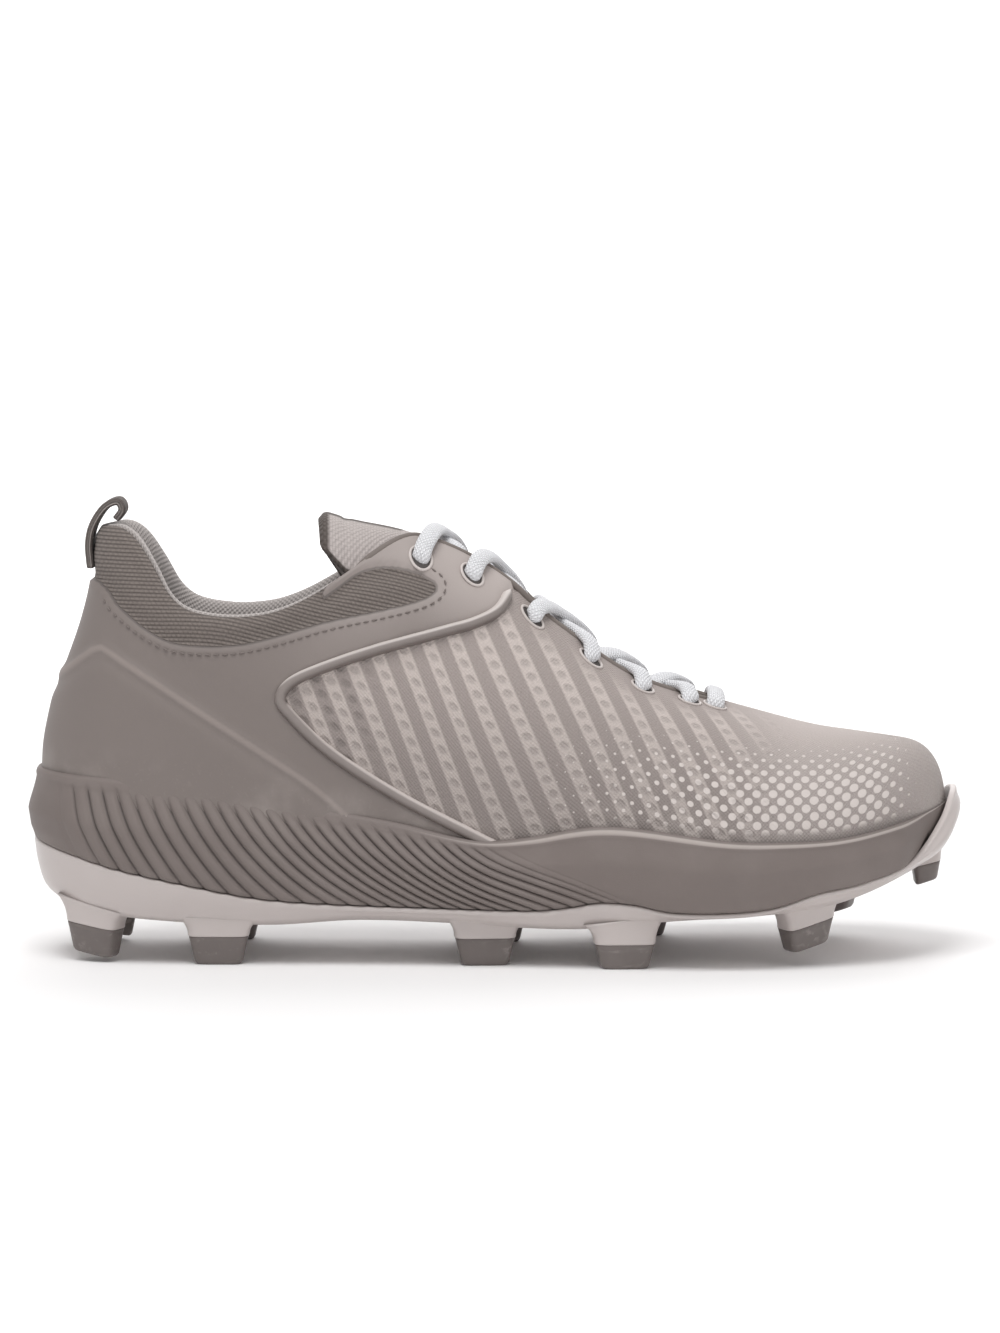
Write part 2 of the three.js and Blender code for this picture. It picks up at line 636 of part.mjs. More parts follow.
// Smooth overlay round the heel and up to the throat.
function makeSaddle() {
  const knit = smoothLine(KNIT_EDGE.map((row) => sidePoint(row)), 28);
  const rim = rimLine();
  const top = SOLE_HEIGHT + 2 * UPPER_HEIGHT;
  const front = rim[0];
  const inner = knit[knit.length - 1];
  const low = aboveMidsole(0.5 * LENGTH, KEEP_OUT);
  const rimAbove = rim.filter((p) => p.y > soleLine(MIDSOLE_TOP, p.x) + CLEARANCE
    && p.x < 0.5 * LENGTH || p.y > SOLE_HEIGHT);
  const foot = rimAbove[rimAbove.length - 1];
  const outline = [...knit, new THREE.Vector2(inner.x, top), new THREE.Vector2(front.x, top),
    ...rimAbove, ...low.filter((p) => p.x < foot.x)];
  const shell = upperShell(CLEARANCE, SADDLE_OUT).intersect(sidePrism(outline));
  const gap = sidePrism(stripOf(rim, RIM_WIDTH + 2 * CLEARANCE));
  return openUp(shell.subtract(gap));
}

// Raised seam along the front edge of the saddle, one side at a time.
function makeRim(side) {
  const above = rimLine().filter((p) => p.y > soleLine(MIDSOLE_TOP, p.x) - RIM_WIDTH);
  const strip = sidePrism(stripOf(above, RIM_WIDTH), BALL_WIDTH, (side * BALL_WIDTH) / 2);
  const floor = [...aboveMidsole(0.6 * LENGTH, KEEP_OUT),
    new THREE.Vector2(KEEP_OUT, SOLE_HEIGHT + 2 * UPPER_HEIGHT),
    new THREE.Vector2(0.6 * LENGTH, SOLE_HEIGHT + 2 * UPPER_HEIGHT)];
  const shell = upperShell(CLEARANCE, CLEARANCE + RIM_RAISE);
  return openUp(shell.intersect(strip).intersect(sidePrism(floor)));
}

// Thin raised layer on the heel of the saddle.
function makeCounter() {
  const edge = smoothLine(COUNTER_EDGE.map((row) => sidePoint(row)), 30);
  const kept = edge.filter((p) => p.y > soleLine(MIDSOLE_TOP, p.x) + CLEARANCE);
  const foot = kept[kept.length - 1];
  const low = aboveMidsole(0.36 * LENGTH, KEEP_OUT).filter((p) => p.x < foot.x);
  const inside = SADDLE_OUT + CLEARANCE;
  const shell = upperShell(inside, inside + COUNTER_THICKNESS);
  return shell.intersect(sidePrism([...kept, ...low]));
}

// Height share of the upper at a level above the floor.
function riseAtHeight(side, turn, z) {
  let low = 0;
  let high = 1;
  for (let i = 0; i < 30; i += 1) {
    const middle = (low + high) / 2;
    if (upperPoint(side, turn, middle).z < z) low = middle;
    else high = middle;
  }
  return (low + high) / 2;
}

// Profile of the midsole's side wall: level as a share of its height, out as a distance.
function sideProfile(x) {
  const crease = lookUp(CREASE, "along", x / LENGTH, "height");
  const calm = mix(1, 0.45, fade(0.3, 0.62, x / LENGTH));
  return [
    { level: 0, out: -2.0 * calm, rib: 0 },
    { level: 0.45 * crease, out: -0.7 * calm, rib: 0.85 },
    { level: crease, out: 0, rib: 1 },
    { level: mix(crease, 1, 0.75), out: -2.6 * calm, rib: 0.85 },
    { level: 1, out: -3.5 * calm, rib: 0 },
  ];
}

// Places of the midsole's columns along its top line: two for each rib, then wider steps.
function midsoleColumns() {
  const places = [0, 0.15 * RIB_START, 0.5 * RIB_START];
  const ribs = Math.round((RIB_END - RIB_START) / RIB_PITCH);
  for (let i = 0; i <= ribs; i += 1) {
    const x = RIB_START + i * RIB_PITCH;
    places.push(x);
    places.push(x + RIB_PITCH / 2);
  }
  const last = places[places.length - 1];
  const front = 12;
  const turnLast = turnOf(last);
  for (let i = 1; i <= front; i += 1) {
    places.push(LENGTH * sweepShare(mix(turnLast, 1, i / front)));
  }
  return places.map((x, i) => ({ x, crest: i >= 3 && i < 3 + 2 * (ribs + 1) ? 1 - 2 * (i % 2) : 0 }));
}

const toeFade = (x) => fade(0.93, 0.985, x / LENGTH);

// Section of the plate at one place: distances outward of the outline, and heights.
function plateSection(side, turn) {
  const toe = toeFade(LENGTH * sweepShare(turn));
  const out = {
    edge: mix(-2.3, -2, toe), middle: mix(-2.7, 0, toe), low: mix(-4.6, -2, toe), bottom: -8,
  };
  const xAt = (distance) => outlinePoint(side, turn, distance).x;
  const edgeZ = soleLine(PLATE_TOP, xAt(out.edge)) - CLEARANCE / 2;
  const lowZ = Math.min(soleLine(PLATE_BOTTOM, xAt(out.low)) + PLATE_FLOOR / 2, edgeZ - 2);
  const wall = { foot: out.middle - PLATE_WALL, top: out.edge - 0.85 * PLATE_WALL };
  return {
    out,
    wall,
    edgeZ,
    lowZ,
    middleZ: mix(lowZ, edgeZ, 0.5),
    wallZ: Math.min(lowZ + 0.65 * PLATE_FLOOR, edgeZ - 1),
    bottomZ: soleLine(PLATE_BOTTOM, xAt(out.bottom)),
    floorOut: out.bottom - 0.7,
    floorZ: Math.min(soleLine(PLATE_BOTTOM, xAt(out.bottom - 0.7)) + PLATE_FLOOR, edgeZ - 1.3),
  };
}

// Midsole: ribbed side wall, cup for the upper and the body that lies in the plate.
function makeMidsole() {
  const columns = midsoleColumns();
  const around = [...columns.map((c) => ({ ...c, side: -1 })),
    ...columns.slice(1, -1).reverse().map((c) => ({ ...c, side: 1 }))];
  const levels = sideProfile(0).length;
  const loops = Array.from({ length: levels + 6 }, () => []);
  for (const { x, crest, side } of around) {
    const wallHeight = soleLine(MIDSOLE_TOP, x) - soleLine(PLATE_TOP, x);
    const bead = 1 - fade(0.925, 0.975, x / LENGTH);
    const lean = lookUp(RIB_LEAN, "along", x / LENGTH, "lean");
    const ribFade = fade(RIB_END + RIB_PITCH, RIB_END - 4 * RIB_PITCH, x)
      * fade(RIB_START - RIB_PITCH, RIB_START + 2 * RIB_PITCH, x);
    const placeAt = (depth) => {
      const shift = lean * wallHeight * (0.55 * depth + 0.45 * depth * depth);
      return turnOf(Math.min(x + shift, LENGTH));
    };
    const foot = placeAt(1);
    const plate = plateSection(side, foot);
    const toeOut = Math.min(plate.wall.top, plate.wall.foot) - 2 * CLEARANCE;
    const seatZ = plate.edgeZ + CLEARANCE;
    const set = (loop, turn, out, heightAt) => {
      const p = outlinePoint(side, turn, out);
      loops[loop].push(new THREE.Vector3(p.x, p.y, heightAt(p.x)));
    };
    const below = (px) => Math.min(seatZ, soleLine(MIDSOLE_TOP, px) - 2);
    set(0, foot, plate.floorOut - CLEARANCE, () => plate.floorZ + 1.5 * CLEARANCE);
    set(1, foot, toeOut, (px) => Math.min(plate.wallZ + 2 * CLEARANCE, below(px) - 0.5));
    set(2, foot, toeOut, below);
    sideProfile(x).forEach((row, i) => {
      const turn = placeAt(1 - row.level);
      const edge = row.out + (crest * row.rib * ribFade * RIB_RAISE) / 2;
      const out = mix(toeOut - 0.05 * row.level, edge, bead);
      set(3 + i, turn, out, (px) => mix(below(px), soleLine(MIDSOLE_TOP, px), row.level));
    });
    const turn = turnOf(x);
    const cup = (rise) => {
      const point = upperPoint(side, turn, rise)
        .addScaledVector(upperNormal(side, turn, rise), CLEARANCE + 0.1);
      if (turn <= 0 || turn >= 1) point.y = swingAt(turn);
      return point;
    };
    const guess = upperPoint(side, turn, 0.1).x;
    const topRise = riseAtHeight(side, turn, soleLine(MIDSOLE_TOP, guess));
    const cupTop = cup(topRise);
    const cupFoot = cup(0);
    cupTop.z = soleLine(MIDSOLE_TOP, cupTop.x);
    cupFoot.z = upperPoint(side, turn, 0).z - CLEARANCE;
    loops[3 + levels].push(cupTop);
    loops[4 + levels].push(cup(0.45 * topRise));
    loops[5 + levels].push(cupFoot);
  }
  return solidOf(meshOfLoops(loops, true, true));
}

// Outsole plate with its side wall, toe bumper and stud pedestals.
function makePlate() {
  const loops = Array.from({ length: 7 }, () => []);
  for (const { side, turn } of loopOf(30)) {
    const plate = plateSection(side, turn);
    const rows = [
      [plate.floorOut, plate.floorZ],
      [plate.wall.foot, plate.wallZ],
      [plate.wall.top, plate.edgeZ],
      [plate.out.edge, plate.edgeZ],
      [plate.out.middle, plate.middleZ],
      [plate.out.low, plate.lowZ],
      [plate.out.bottom, plate.bottomZ],
    ];
    rows.forEach(([out, z], level) => {
      const p = outlinePoint(side, turn, out);
      loops[level].push(new THREE.Vector3(p.x, p.y, z));
    });
  }
  let plate = solidOf(meshOfLoops(loops, true, true));
  for (const stud of STUDS) plate = plate.add(makePedestal(stud));
  return plate;
}

// Rounded block between two slanted ends; each end gives its heights and its share of the size.
function studBlock(stud, upper, lower) {
  const corner = 0.3;
  const outline = [[-1 + corner, -1], [1 - corner, -1], [1, -1 + corner], [1, 1 - corner],
    [1 - corner, 1], [-1 + corner, 1], [-1, 1 - corner], [-1, -1 + corner]];
  const x = stud.along * LENGTH;
  const y = stud.side * HALF_BALL;
  const yaw = THREE.MathUtils.degToRad(stud.turn);
  const ring = (end) => outline.map(([u, v]) => {
    const px = (u * stud.long * STUD_LENGTH * end.share) / 2;
    const py = (v * stud.wide * STUD_WIDTH * end.share) / 2;
    return new THREE.Vector3(
      x + px * Math.cos(yaw) - py * Math.sin(yaw),
      y + px * Math.sin(yaw) + py * Math.cos(yaw),
      mix(end.rear, end.front, px / (stud.long * STUD_LENGTH) + 0.5),
    );
  });
  const loops = [ring(lower), ring(upper)];
  const positions = loops.flat().flatMap((p) => [p.x, p.y, p.z]);
  const index = [];
  for (let k = 0; k < 8; k += 1) {
    const next = (k + 1) % 8;
    index.push(k, next, next + 8, k, next + 8, k + 8);
    if (k > 0 && k < 7) index.push(0, k + 1, k, 8, k + 8, k + 9);
  }
  const geometry = new THREE.BufferGeometry();
  geometry.setAttribute("position", new THREE.Float32BufferAttribute(positions, 3));
  geometry.setIndex(index);
  return solidOf(geometry);
}

// Level between pedestal and tip, measured down from the plate at both ends of the stud.
function studTop(stud, share) {
  const reach = (stud.long * STUD_LENGTH) / 2;
  const level = (x, under) => soleLine(PLATE_BOTTOM, x) - under * STUD_HEIGHT;
  const x = stud.along * LENGTH;
  return { rear: level(x - reach, stud.underRear), front: level(x + reach, stud.underFront), share };
}

function makeStud(stud) {
  return studBlock(stud, studTop(stud, 1), {
    rear: stud.endRear * STUD_HEIGHT, front: stud.endFront * STUD_HEIGHT, share: STUD_TAPER,
  });
}

// Base of a stud, from inside the plate down to the top of its tip.
function makePedestal(stud) {
  const x = stud.along * LENGTH;
  const reach = (stud.long * STUD_LENGTH * PEDESTAL_FLARE) / 2;
  const inPlate = (px) => soleLine(PLATE_BOTTOM, px) + PLATE_FLOOR / 2;
  return studBlock(stud, {
    rear: inPlate(x - reach), front: inPlate(x + reach), share: PEDESTAL_FLARE,
  }, studTop(stud, 1));
}

// Footbed inside the upper.
function makeInsole() {
  const clear = UPPER_WALL + 2 * CLEARANCE;
  const foot = offsetRows(-clear)[0];
  const lift = (points, height, shrink) => points.map((p) => new THREE.Vector3(
    mix(MIDDLE, p.x, 1 - shrink), p.y * (1 - shrink), p.z + height,
  ));
  return solidOf(meshOfLoops(
    [lift(foot, 0, 0), lift(foot, INSOLE_THICKNESS, 0.004)], true, true,
  ));
}

// Point over the upper at a place seen from above, moved outward.
function overUpper(x, y, outward) {
  const solve = (turn) => {
    const side = y < swingAt(turn) ? -1 : 1;
    const want = Math.abs(y - swingAt(turn));
    let low = 0.12;
    let high = 1;
    for (let i = 0; i < 26; i += 1) {
      const middle = (low + high) / 2;
      if (Math.abs(upperPoint(side, turn, middle).y - swingAt(turn)) > want) low = middle;
      else high = middle;
    }
    return { side, turn, rise: (low + high) / 2 };
  };
  let from = 0.1;
  let to = 0.95;
  for (let i = 0; i < 26; i += 1) {
    const middle = (from + to) / 2;
    const place = solve(middle);
    if (upperPoint(place.side, place.turn, place.rise).x < x) from = middle;
    else to = middle;
  }
  const place = solve((from + to) / 2);
  const normal = upperNormal(place.side, place.turn, place.rise);
  return upperPoint(place.side, place.turn, place.rise).addScaledVector(normal, outward);
}

// Curved tongue under the throat, out over the collar.
function makeTongue() {
  const stations = 11;
  const across = 8;
  const depthAt = (along) => UPPER_WALL + CLEARANCE + TONGUE_DROP * (1 - fade(0.45, 0.68, along));
  const first = TONGUE[0].along;
  const last = TONGUE[TONGUE.length - 1].along;
  const face = (thickness) => {
    const rows = [];
    for (let i = 0; i <= stations; i += 1) {
      const along = mix(first, last, i / stations);
      const half = HALF_BALL * lookUp(TONGUE, "along", along, "half");
      const x = along * LENGTH;
      const middle = swingAt(turnOf(x));
      const row = [];
      for (let k = 0; k <= across; k += 1) {
        row.push(overUpper(x, middle + mix(-half, half, k / across), -depthAt(along) - thickness));
      }
      rows.push(row);
    }
    return rows;
  };
  const top = face(0);
  const bottom = face(TONGUE_THICKNESS);
  const loops = top.map((row, i) => [...row, ...bottom[i].reverse()]);
  return solidOf(meshOfLoops(loops, true, true));
}

const LACE_SIDES = 6;

// Round lace section swept along a run of points.
function laceBar(points) {
  const radius = LACE_DIAMETER / 2;
  const shape = new THREE.Shape();
  for (let k = 0; k < LACE_SIDES; k += 1) {
    const angle = (k * 2 * Math.PI) / LACE_SIDES;
    const [u, v] = [radius * Math.cos(angle), radius * Math.sin(angle)];
    if (k === 0) shape.moveTo(u, v);
    else shape.lineTo(u, v);
  }
  const path = new THREE.CatmullRomCurve3(points, false, "centripetal");
  return solidOf(new THREE.ExtrudeGeometry(shape, {
    extrudePath: path, steps: 7, bevelEnabled: false,
  }));
}

// Run of one bar between two ends, each over the eyestay or tucked in at the throat edge.
function barPoints(from, to, hump, clear = LACE_LIFT) {
  const run = (end, other) => {
    const tucked = end.over ? 0 : 1.3 * LACE_DIAMETER * Math.sign(other.along - end.along);
    const x = end.along * LENGTH + tucked;
    const middle = swingAt(turnOf(x));
    const edge = HALF_BALL * lookUp(THROAT, "along", x / LENGTH, "half");
    const lift = (x < RIM_LINE[0].along * LENGTH ? SADDLE_OUT : 0) + clear
      + LACE_DIAMETER / 2;
    const reach = Math.max(edge, LACE_DIAMETER);
    const onEdge = overUpper(x, middle + end.side * (reach + 0.6 * clear), lift + clear);
    if (end.over) return [overUpper(x, middle + end.side * (reach + EYELET_INSET), lift), onEdge];
    return [overUpper(x, middle + end.side * (reach - LACE_DIAMETER / 2), lift)];
  };
  const start = run(from, to);
  const end = run(to, from).reverse();
  const top = start[start.length - 1].clone().add(end[0]).multiplyScalar(0.5);
  top.z += hump;
  return [...start, top, ...end];
}

// Two bars that cross between neighbouring eyelet rows.
function makeCrossing(index) {
  const rear = EYELETS[index];
  const front = EYELETS[index + 1];
  const bar = (side, hump) => laceBar(barPoints(
    { along: rear.along, side, over: rear.ahead },
    { along: front.along, side: -side, over: front.behind },
    hump,
  ));
  return bar(-1, 0.5 * LACE_DIAMETER).add(bar(1, 0));
}

function makeFrontBar() {
  const ends = [-1, 1].map((side) => ({ along: FRONT_BAR, side, over: true }));
  return laceBar(barPoints(ends[0], ends[1], 0, 1.2 * CLEARANCE));
}

// Tape loop at the back of the collar.
function makeLoop() {
  const line = smoothLine(LOOP_LINE.map((row) => sidePoint(row, COLLAR_HEIGHT)), 16);
  return sidePrism(stripOf(line, LOOP_TAPE), LOOP_WIDTH, 0);
}

const FINISH = {
  plate: { color: 0xb9afad, roughness: 0.45, metalness: 0 },
  stud: { color: 0x6b6361, roughness: 0.5, metalness: 0 },
  midsole: { color: 0x776e6b, roughness: 0.6, metalness: 0 },
  insole: { color: 0x9a9391, roughness: 0.9, metalness: 0 },
  mesh: { color: 0xb8adaa, roughness: 0.85, metalness: 0 },
  saddle: { color: 0x857c79, roughness: 0.55, metalness: 0 },
  tongue: { color: 0xaaa29f, roughness: 0.8, metalness: 0 },
  lace: { color: 0xebebf0, roughness: 0.8, metalness: 0 },
  loop: { color: 0x6e6663, roughness: 0.8, metalness: 0 },
};

const cleat = new THREE.Group();
cleat.name = "baseball_cleat";

function addPart(name, solid, finish) {
  const mesh = new THREE.Mesh(geometryOf(solid), new THREE.MeshStandardMaterial(FINISH[finish]));
  mesh.name = name;
  mesh.position.x = -MIDDLE;
  cleat.add(mesh);
}

addPart("outsole_plate", makePlate(), "plate");
for (const stud of STUDS) addPart(`stud_${stud.name}`, makeStud(stud), "stud");
addPart("midsole", makeMidsole(), "midsole");
addPart("insole", makeInsole(), "insole");
addPart("upper", makeUpper(), "mesh");
addPart("saddle", makeSaddle(), "saddle");
addPart("heel_counter", makeCounter(), "saddle");
addPart("saddle_rim_lateral", makeRim(-1), "saddle");
addPart("saddle_rim_medial", makeRim(1), "saddle");
addPart("tongue", makeTongue(), "tongue");
for (let i = 0; i + 1 < EYELETS.length; i += 1) {
  addPart(`lace_crossing_${i + 1}`, makeCrossing(i), "lace");
}
addPart("lace_front_bar", makeFrontBar(), "lace");
addPart("pull_loop", makeLoop(), "loop");

// The frame's origin is the middle of the shoe's box, on the floor.
const box = new THREE.Box3().setFromObject(cleat);
for (const mesh of cleat.children) mesh.position.y = -(box.min.y + box.max.y) / 2;

export default cleat;
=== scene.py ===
"""Looks of a low baseball cleat for the right foot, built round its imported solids.

Blender works in metres: X from the heel to the toe, Y to the inner side of the foot, Z up from
the floor. The sizes in the classes are in millimetres, with X counted from the heel.
"""

import logging
import math
from dataclasses import dataclass, field
from enum import Enum

import bmesh
import bpy
import numpy as np
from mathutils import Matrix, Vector


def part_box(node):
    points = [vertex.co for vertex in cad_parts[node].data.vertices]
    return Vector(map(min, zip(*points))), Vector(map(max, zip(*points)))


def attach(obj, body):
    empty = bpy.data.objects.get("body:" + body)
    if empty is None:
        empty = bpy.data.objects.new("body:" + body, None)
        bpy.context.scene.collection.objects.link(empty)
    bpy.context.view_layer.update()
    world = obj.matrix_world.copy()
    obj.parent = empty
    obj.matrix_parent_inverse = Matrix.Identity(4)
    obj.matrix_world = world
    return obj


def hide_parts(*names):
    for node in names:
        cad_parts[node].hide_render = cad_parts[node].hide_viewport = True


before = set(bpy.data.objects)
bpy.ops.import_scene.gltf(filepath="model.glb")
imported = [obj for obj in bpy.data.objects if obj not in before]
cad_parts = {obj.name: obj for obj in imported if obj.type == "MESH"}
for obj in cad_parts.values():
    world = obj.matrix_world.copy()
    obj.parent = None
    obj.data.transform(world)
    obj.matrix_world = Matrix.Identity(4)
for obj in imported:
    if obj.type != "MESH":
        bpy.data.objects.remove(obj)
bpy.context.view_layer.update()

Array = np.ndarray
Socket = bpy.types.NodeSocket
# Colour, roughness, bump height and bump distance of a finish.
Look = tuple[object, object, object, float]

LOG = logging.getLogger("cleat")
BODY = "root"
LATERAL = -1.0
MEDIAL = 1.0
# Way up the upper from which a place counts as on the ridge, and the last place just below it.
ON_RIDGE = 0.9995
BELOW_RIDGE = 0.9994
# Ends of the collar and the throat opening, as shares of the length.
COLLAR_FRONT = 0.42
THROAT_BACK = 0.36
THROAT_FRONT = 0.745
# Depth in an opening that stands for none, and the least depth that is a measured one.
NO_OPENING = -1e3
LEAST_DEPTH = -50
# Distance in metres within which the two sides of a piece are joined.
SIDE_WELD = 0.00003
# Edge number of cloth that shows no bound edge.
NO_EDGE = 5.0


class Slot(Enum):
    """Material slots of the record."""

    PLATE = "plate"
    STUD = "stud"
    MIDSOLE = "midsole"
    INSOLE = "insole"
    MESH = "mesh"
    SADDLE = "saddle"
    TONGUE = "tongue"
    LACE = "lace"
    WEBBING = "webbing"


@dataclass(frozen=True)
class Table:
    """Short table with named columns that is read as a smooth curve."""

    columns: tuple[str, ...]
    rows: tuple[tuple[float, ...], ...]

    def column(self, name: str) -> Array:
        """All values of one column."""
        return np.array([row[self.columns.index(name)] for row in self.rows])

    def at(self, key: str, places: Array, column: str) -> Array:
        """Reads one column at places in another.

        Args:
            key: column that the places belong to, rising from row to row.
            places: where to read.
            column: column to read.

        Returns:
            The smooth values, constant beyond both ends.
        """
        keys, values = self.column(key), self.column(column)
        places = np.clip(places, keys[0], keys[-1])
        i = np.clip(np.searchsorted(keys, places, side="right") - 1, 0, len(keys) - 2)
        before, after = np.maximum(i - 1, 0), np.minimum(i + 2, len(keys) - 1)
        span = keys[i + 1] - keys[i]
        u = (places - keys[i]) / span
        slope_from = (values[i + 1] - values[before]) / (keys[i + 1] - keys[before]) * span
        slope_to = (values[after] - values[i]) / (keys[after] - keys[i]) * span
        return (
            (2 * u**3 - 3 * u**2 + 1) * values[i]
            + (u**3 - 2 * u**2 + u) * slope_from
            + (3 * u**2 - 2 * u**3) * values[i + 1]
            + (u**3 - u**2) * slope_to
        )


OUTLINE = Table(
    ("turn", "lateral", "medial", "swing"),
    (
        (0.0, 0.0, 0.0, 0.0), (0.05, 0.231, 0.231, 0.0), (0.1, 0.433, 0.43, 0.0),
        (0.15, 0.596, 0.585, 0.0), (0.2, 0.702, 0.685, 0.0), (0.25, 0.742, 0.722, 0.0),
        (0.3, 0.756, 0.727, 0.0), (0.35, 0.756, 0.702, 0.0), (0.4, 0.763, 0.663, 0.0),
        (0.45, 0.792, 0.635, 0.0), (0.5, 0.846, 0.65, 0.004), (0.55, 0.915, 0.735, 0.01),
        (0.6, 0.982, 0.84, 0.02), (0.65, 1.03, 0.915, 0.038), (0.7, 1.015, 0.937, 0.063),
        (0.75, 0.937, 0.9, 0.09), (0.8, 0.808, 0.798, 0.115), (0.85, 0.644, 0.637, 0.135),
        (0.9, 0.452, 0.446, 0.148), (0.95, 0.235, 0.233, 0.154), (1.0, 0.0, 0.0, 0.154),
    ),
)
MIDSOLE_TOP = Table(
    ("along", "height"),
    (
        (0.0, 1.0), (0.107, 0.983), (0.19, 0.968), (0.246, 0.913), (0.304, 0.843), (0.35, 0.8),
        (0.398, 0.757), (0.462, 0.683), (0.495, 0.668), (0.54, 0.695), (0.579, 0.735),
        (0.607, 0.752), (0.643, 0.747), (0.739, 0.683), (0.792, 0.672), (0.862, 0.68),
        (0.931, 0.742), (0.978, 0.8), (1.0, 0.82),
    ),
)
PLATE_TOP = Table(
    ("along", "height"),
    (
        (0.0, 0.642), (0.05, 0.577), (0.102, 0.507), (0.177, 0.427), (0.246, 0.362),
        (0.315, 0.333), (0.437, 0.315), (0.54, 0.31), (0.579, 0.333), (0.607, 0.358),
        (0.643, 0.35), (0.682, 0.313), (0.746, 0.312), (0.792, 0.337), (0.834, 0.4),
        (0.885, 0.445), (0.943, 0.548), (0.978, 0.742), (0.993, 0.88), (1.0, 0.89),
    ),
)
PLATE_BOTTOM = Table(
    ("along", "height"),
    (
        (0.0, 0.4), (0.026, 0.335), (0.055, 0.29), (0.13, 0.235), (0.26, 0.208), (0.354, 0.235),
        (0.447, 0.225), (0.526, 0.205), (0.591, 0.205), (0.69, 0.255), (0.771, 0.278),
        (0.845, 0.315), (0.89, 0.372), (0.95, 0.485), (0.975, 0.545), (0.993, 0.655), (1.0, 0.7),
    ),
)
FOOTBED = Table(
    ("along", "height"),
    (
        (0.0, 0.75), (0.2, 0.725), (0.35, 0.617), (0.5, 0.525), (0.65, 0.487), (0.8, 0.505),
        (0.9, 0.565), (0.955, 0.64), (1.0, 0.74),
    ),
)
CREASE = Table(("along", "height"), ((0.0, 0.4), (0.1, 0.52), (0.2, 0.64), (0.4, 0.6), (1.0, 0.5)))
RIB_LEAN = Table(
    ("along", "lean"),
    (
        (0.0, 0.0), (0.03, 0.35), (0.12, 0.6), (0.22, 1.0), (0.37, 1.5), (0.5, 2.1), (0.6, 1.7),
        (0.75, 0.6), (0.86, 0.0), (1.0, 0.0),
    ),
)
SECTIONS = Table(
    ("turn", "along", "up", "full", "inner", "taper", "bulge"),
    (
        (-0.1, 0.125, 1.33, 2.6, 2.6, 0.06, 0.0), (0.0, 0.113, 1.31, 2.6, 2.6, 0.06, 0.0),
        (0.1, 0.125, 1.33, 2.6, 2.6, 0.06, 0.0), (0.2, 0.173, 1.3, 2.6, 2.6, 0.06, 0.01),
        (0.3, 0.247, 1.2, 2.6, 2.6, 0.06, 0.015), (0.35, 0.29, 1.11, 2.6, 2.65, 0.05, 0.02),
        (0.4, 0.345, 1.04, 2.5, 2.65, 0.03, 0.02), (0.45, 0.415, 0.985, 2.4, 2.6, 0.0, 0.02),
        (0.5, 0.49, 0.845, 2.2, 2.45, 0.0, 0.03), (0.55, 0.565, 0.612, 2.0, 2.25, 0.0, 0.04),
        (0.6, 0.64, 0.4, 1.95, 2.1, 0.0, 0.05), (0.65, 0.71, 0.295, 2.0, 2.1, 0.0, 0.055),
        (0.7, 0.78, 0.215, 2.15, 2.2, 0.0, 0.055), (0.75, 0.84, 0.155, 2.3, 2.3, 0.0, 0.05),
        (0.8, 0.882, 0.128, 2.45, 2.45, 0.0, 0.04), (0.85, 0.905, 0.113, 2.55, 2.55, 0.0, 0.03),
        (0.9, 0.917, 0.105, 2.6, 2.6, 0.0, 0.02), (0.95, 0.923, 0.101, 2.65, 2.65, 0.0, 0.01),
        (1.0, 0.925, 0.1, 2.65, 2.65, 0.0, 0.0), (1.05, 0.923, 0.101, 2.65, 2.65, 0.0, 0.01),
    ),
)
HEEL_CURVE = Table(
    ("rise", "back"),
    (
        (0.0, 0.0), (0.1, 0.009), (0.2, 0.0155), (0.36, 0.0148), (0.5, 0.008), (0.61, 0.0065),
        (0.72, 0.0105), (0.8, 0.0115), (1.0, 0.0),
    ),
)
COLLAR_EDGE = Table(
    ("along", "up"),
    (
        (-0.05, 1.0), (0.08, 1.0), (0.102, 1.005), (0.121, 0.96), (0.14, 0.855), (0.158, 0.735),
        (0.177, 0.675), (0.211, 0.648), (0.241, 0.648), (0.269, 0.667), (0.299, 0.715),
        (0.33, 0.785), (0.363, 0.87), (0.395, 0.945), (0.42, 0.97),
    ),
)
KNIT_EDGE = Table(
    ("along", "up"),
    (
        (-0.05, 0.762), (0.07, 0.762), (0.107, 0.65), (0.135, 0.57), (0.168, 0.517),
        (0.223, 0.511), (0.269, 0.545), (0.321, 0.6), (0.384, 0.648), (0.425, 0.69),
        (0.437, 0.735), (0.415, 0.785), (0.384, 0.805), (0.357, 0.785), (0.335, 0.73),
        (0.32, 0.69),
    ),
)
RIM_LINE = Table(
    ("along", "up"),
    (
        (0.53, 0.78), (0.513, 0.705), (0.5, 0.635), (0.475, 0.592), (0.447, 0.565),
        (0.372, 0.49), (0.31, 0.412), (0.283, 0.36), (0.274, 0.302), (0.283, 0.245),
        (0.325, 0.095), (0.397, -0.078), (0.472, -0.221), (0.52, -0.31),
    ),
)
COUNTER_EDGE = Table(
    ("along", "up"),
    (
        (-0.05, 0.325), (0.02, 0.325), (0.045, 0.375), (0.072, 0.455), (0.086, 0.487),
        (0.1, 0.468), (0.18, 0.275), (0.26, 0.079), (0.304, -0.03), (0.333, -0.12), (0.36, -0.22),
    ),
)
THROAT = Table(
    ("along", "half"),
    (
        (0.36, 0.3), (0.417, 0.27), (0.487, 0.24), (0.567, 0.212), (0.667, 0.173),
        (0.715, 0.145), (0.736, 0.1), (0.745, 0.0),
    ),
)
TONGUE_WIDTH = Table(
    ("along", "half"),
    (
        (0.318, 0.4), (0.36, 0.46), (0.42, 0.46), (0.5, 0.44), (0.6, 0.38), (0.7, 0.3),
        (0.76, 0.22),
    ),
)
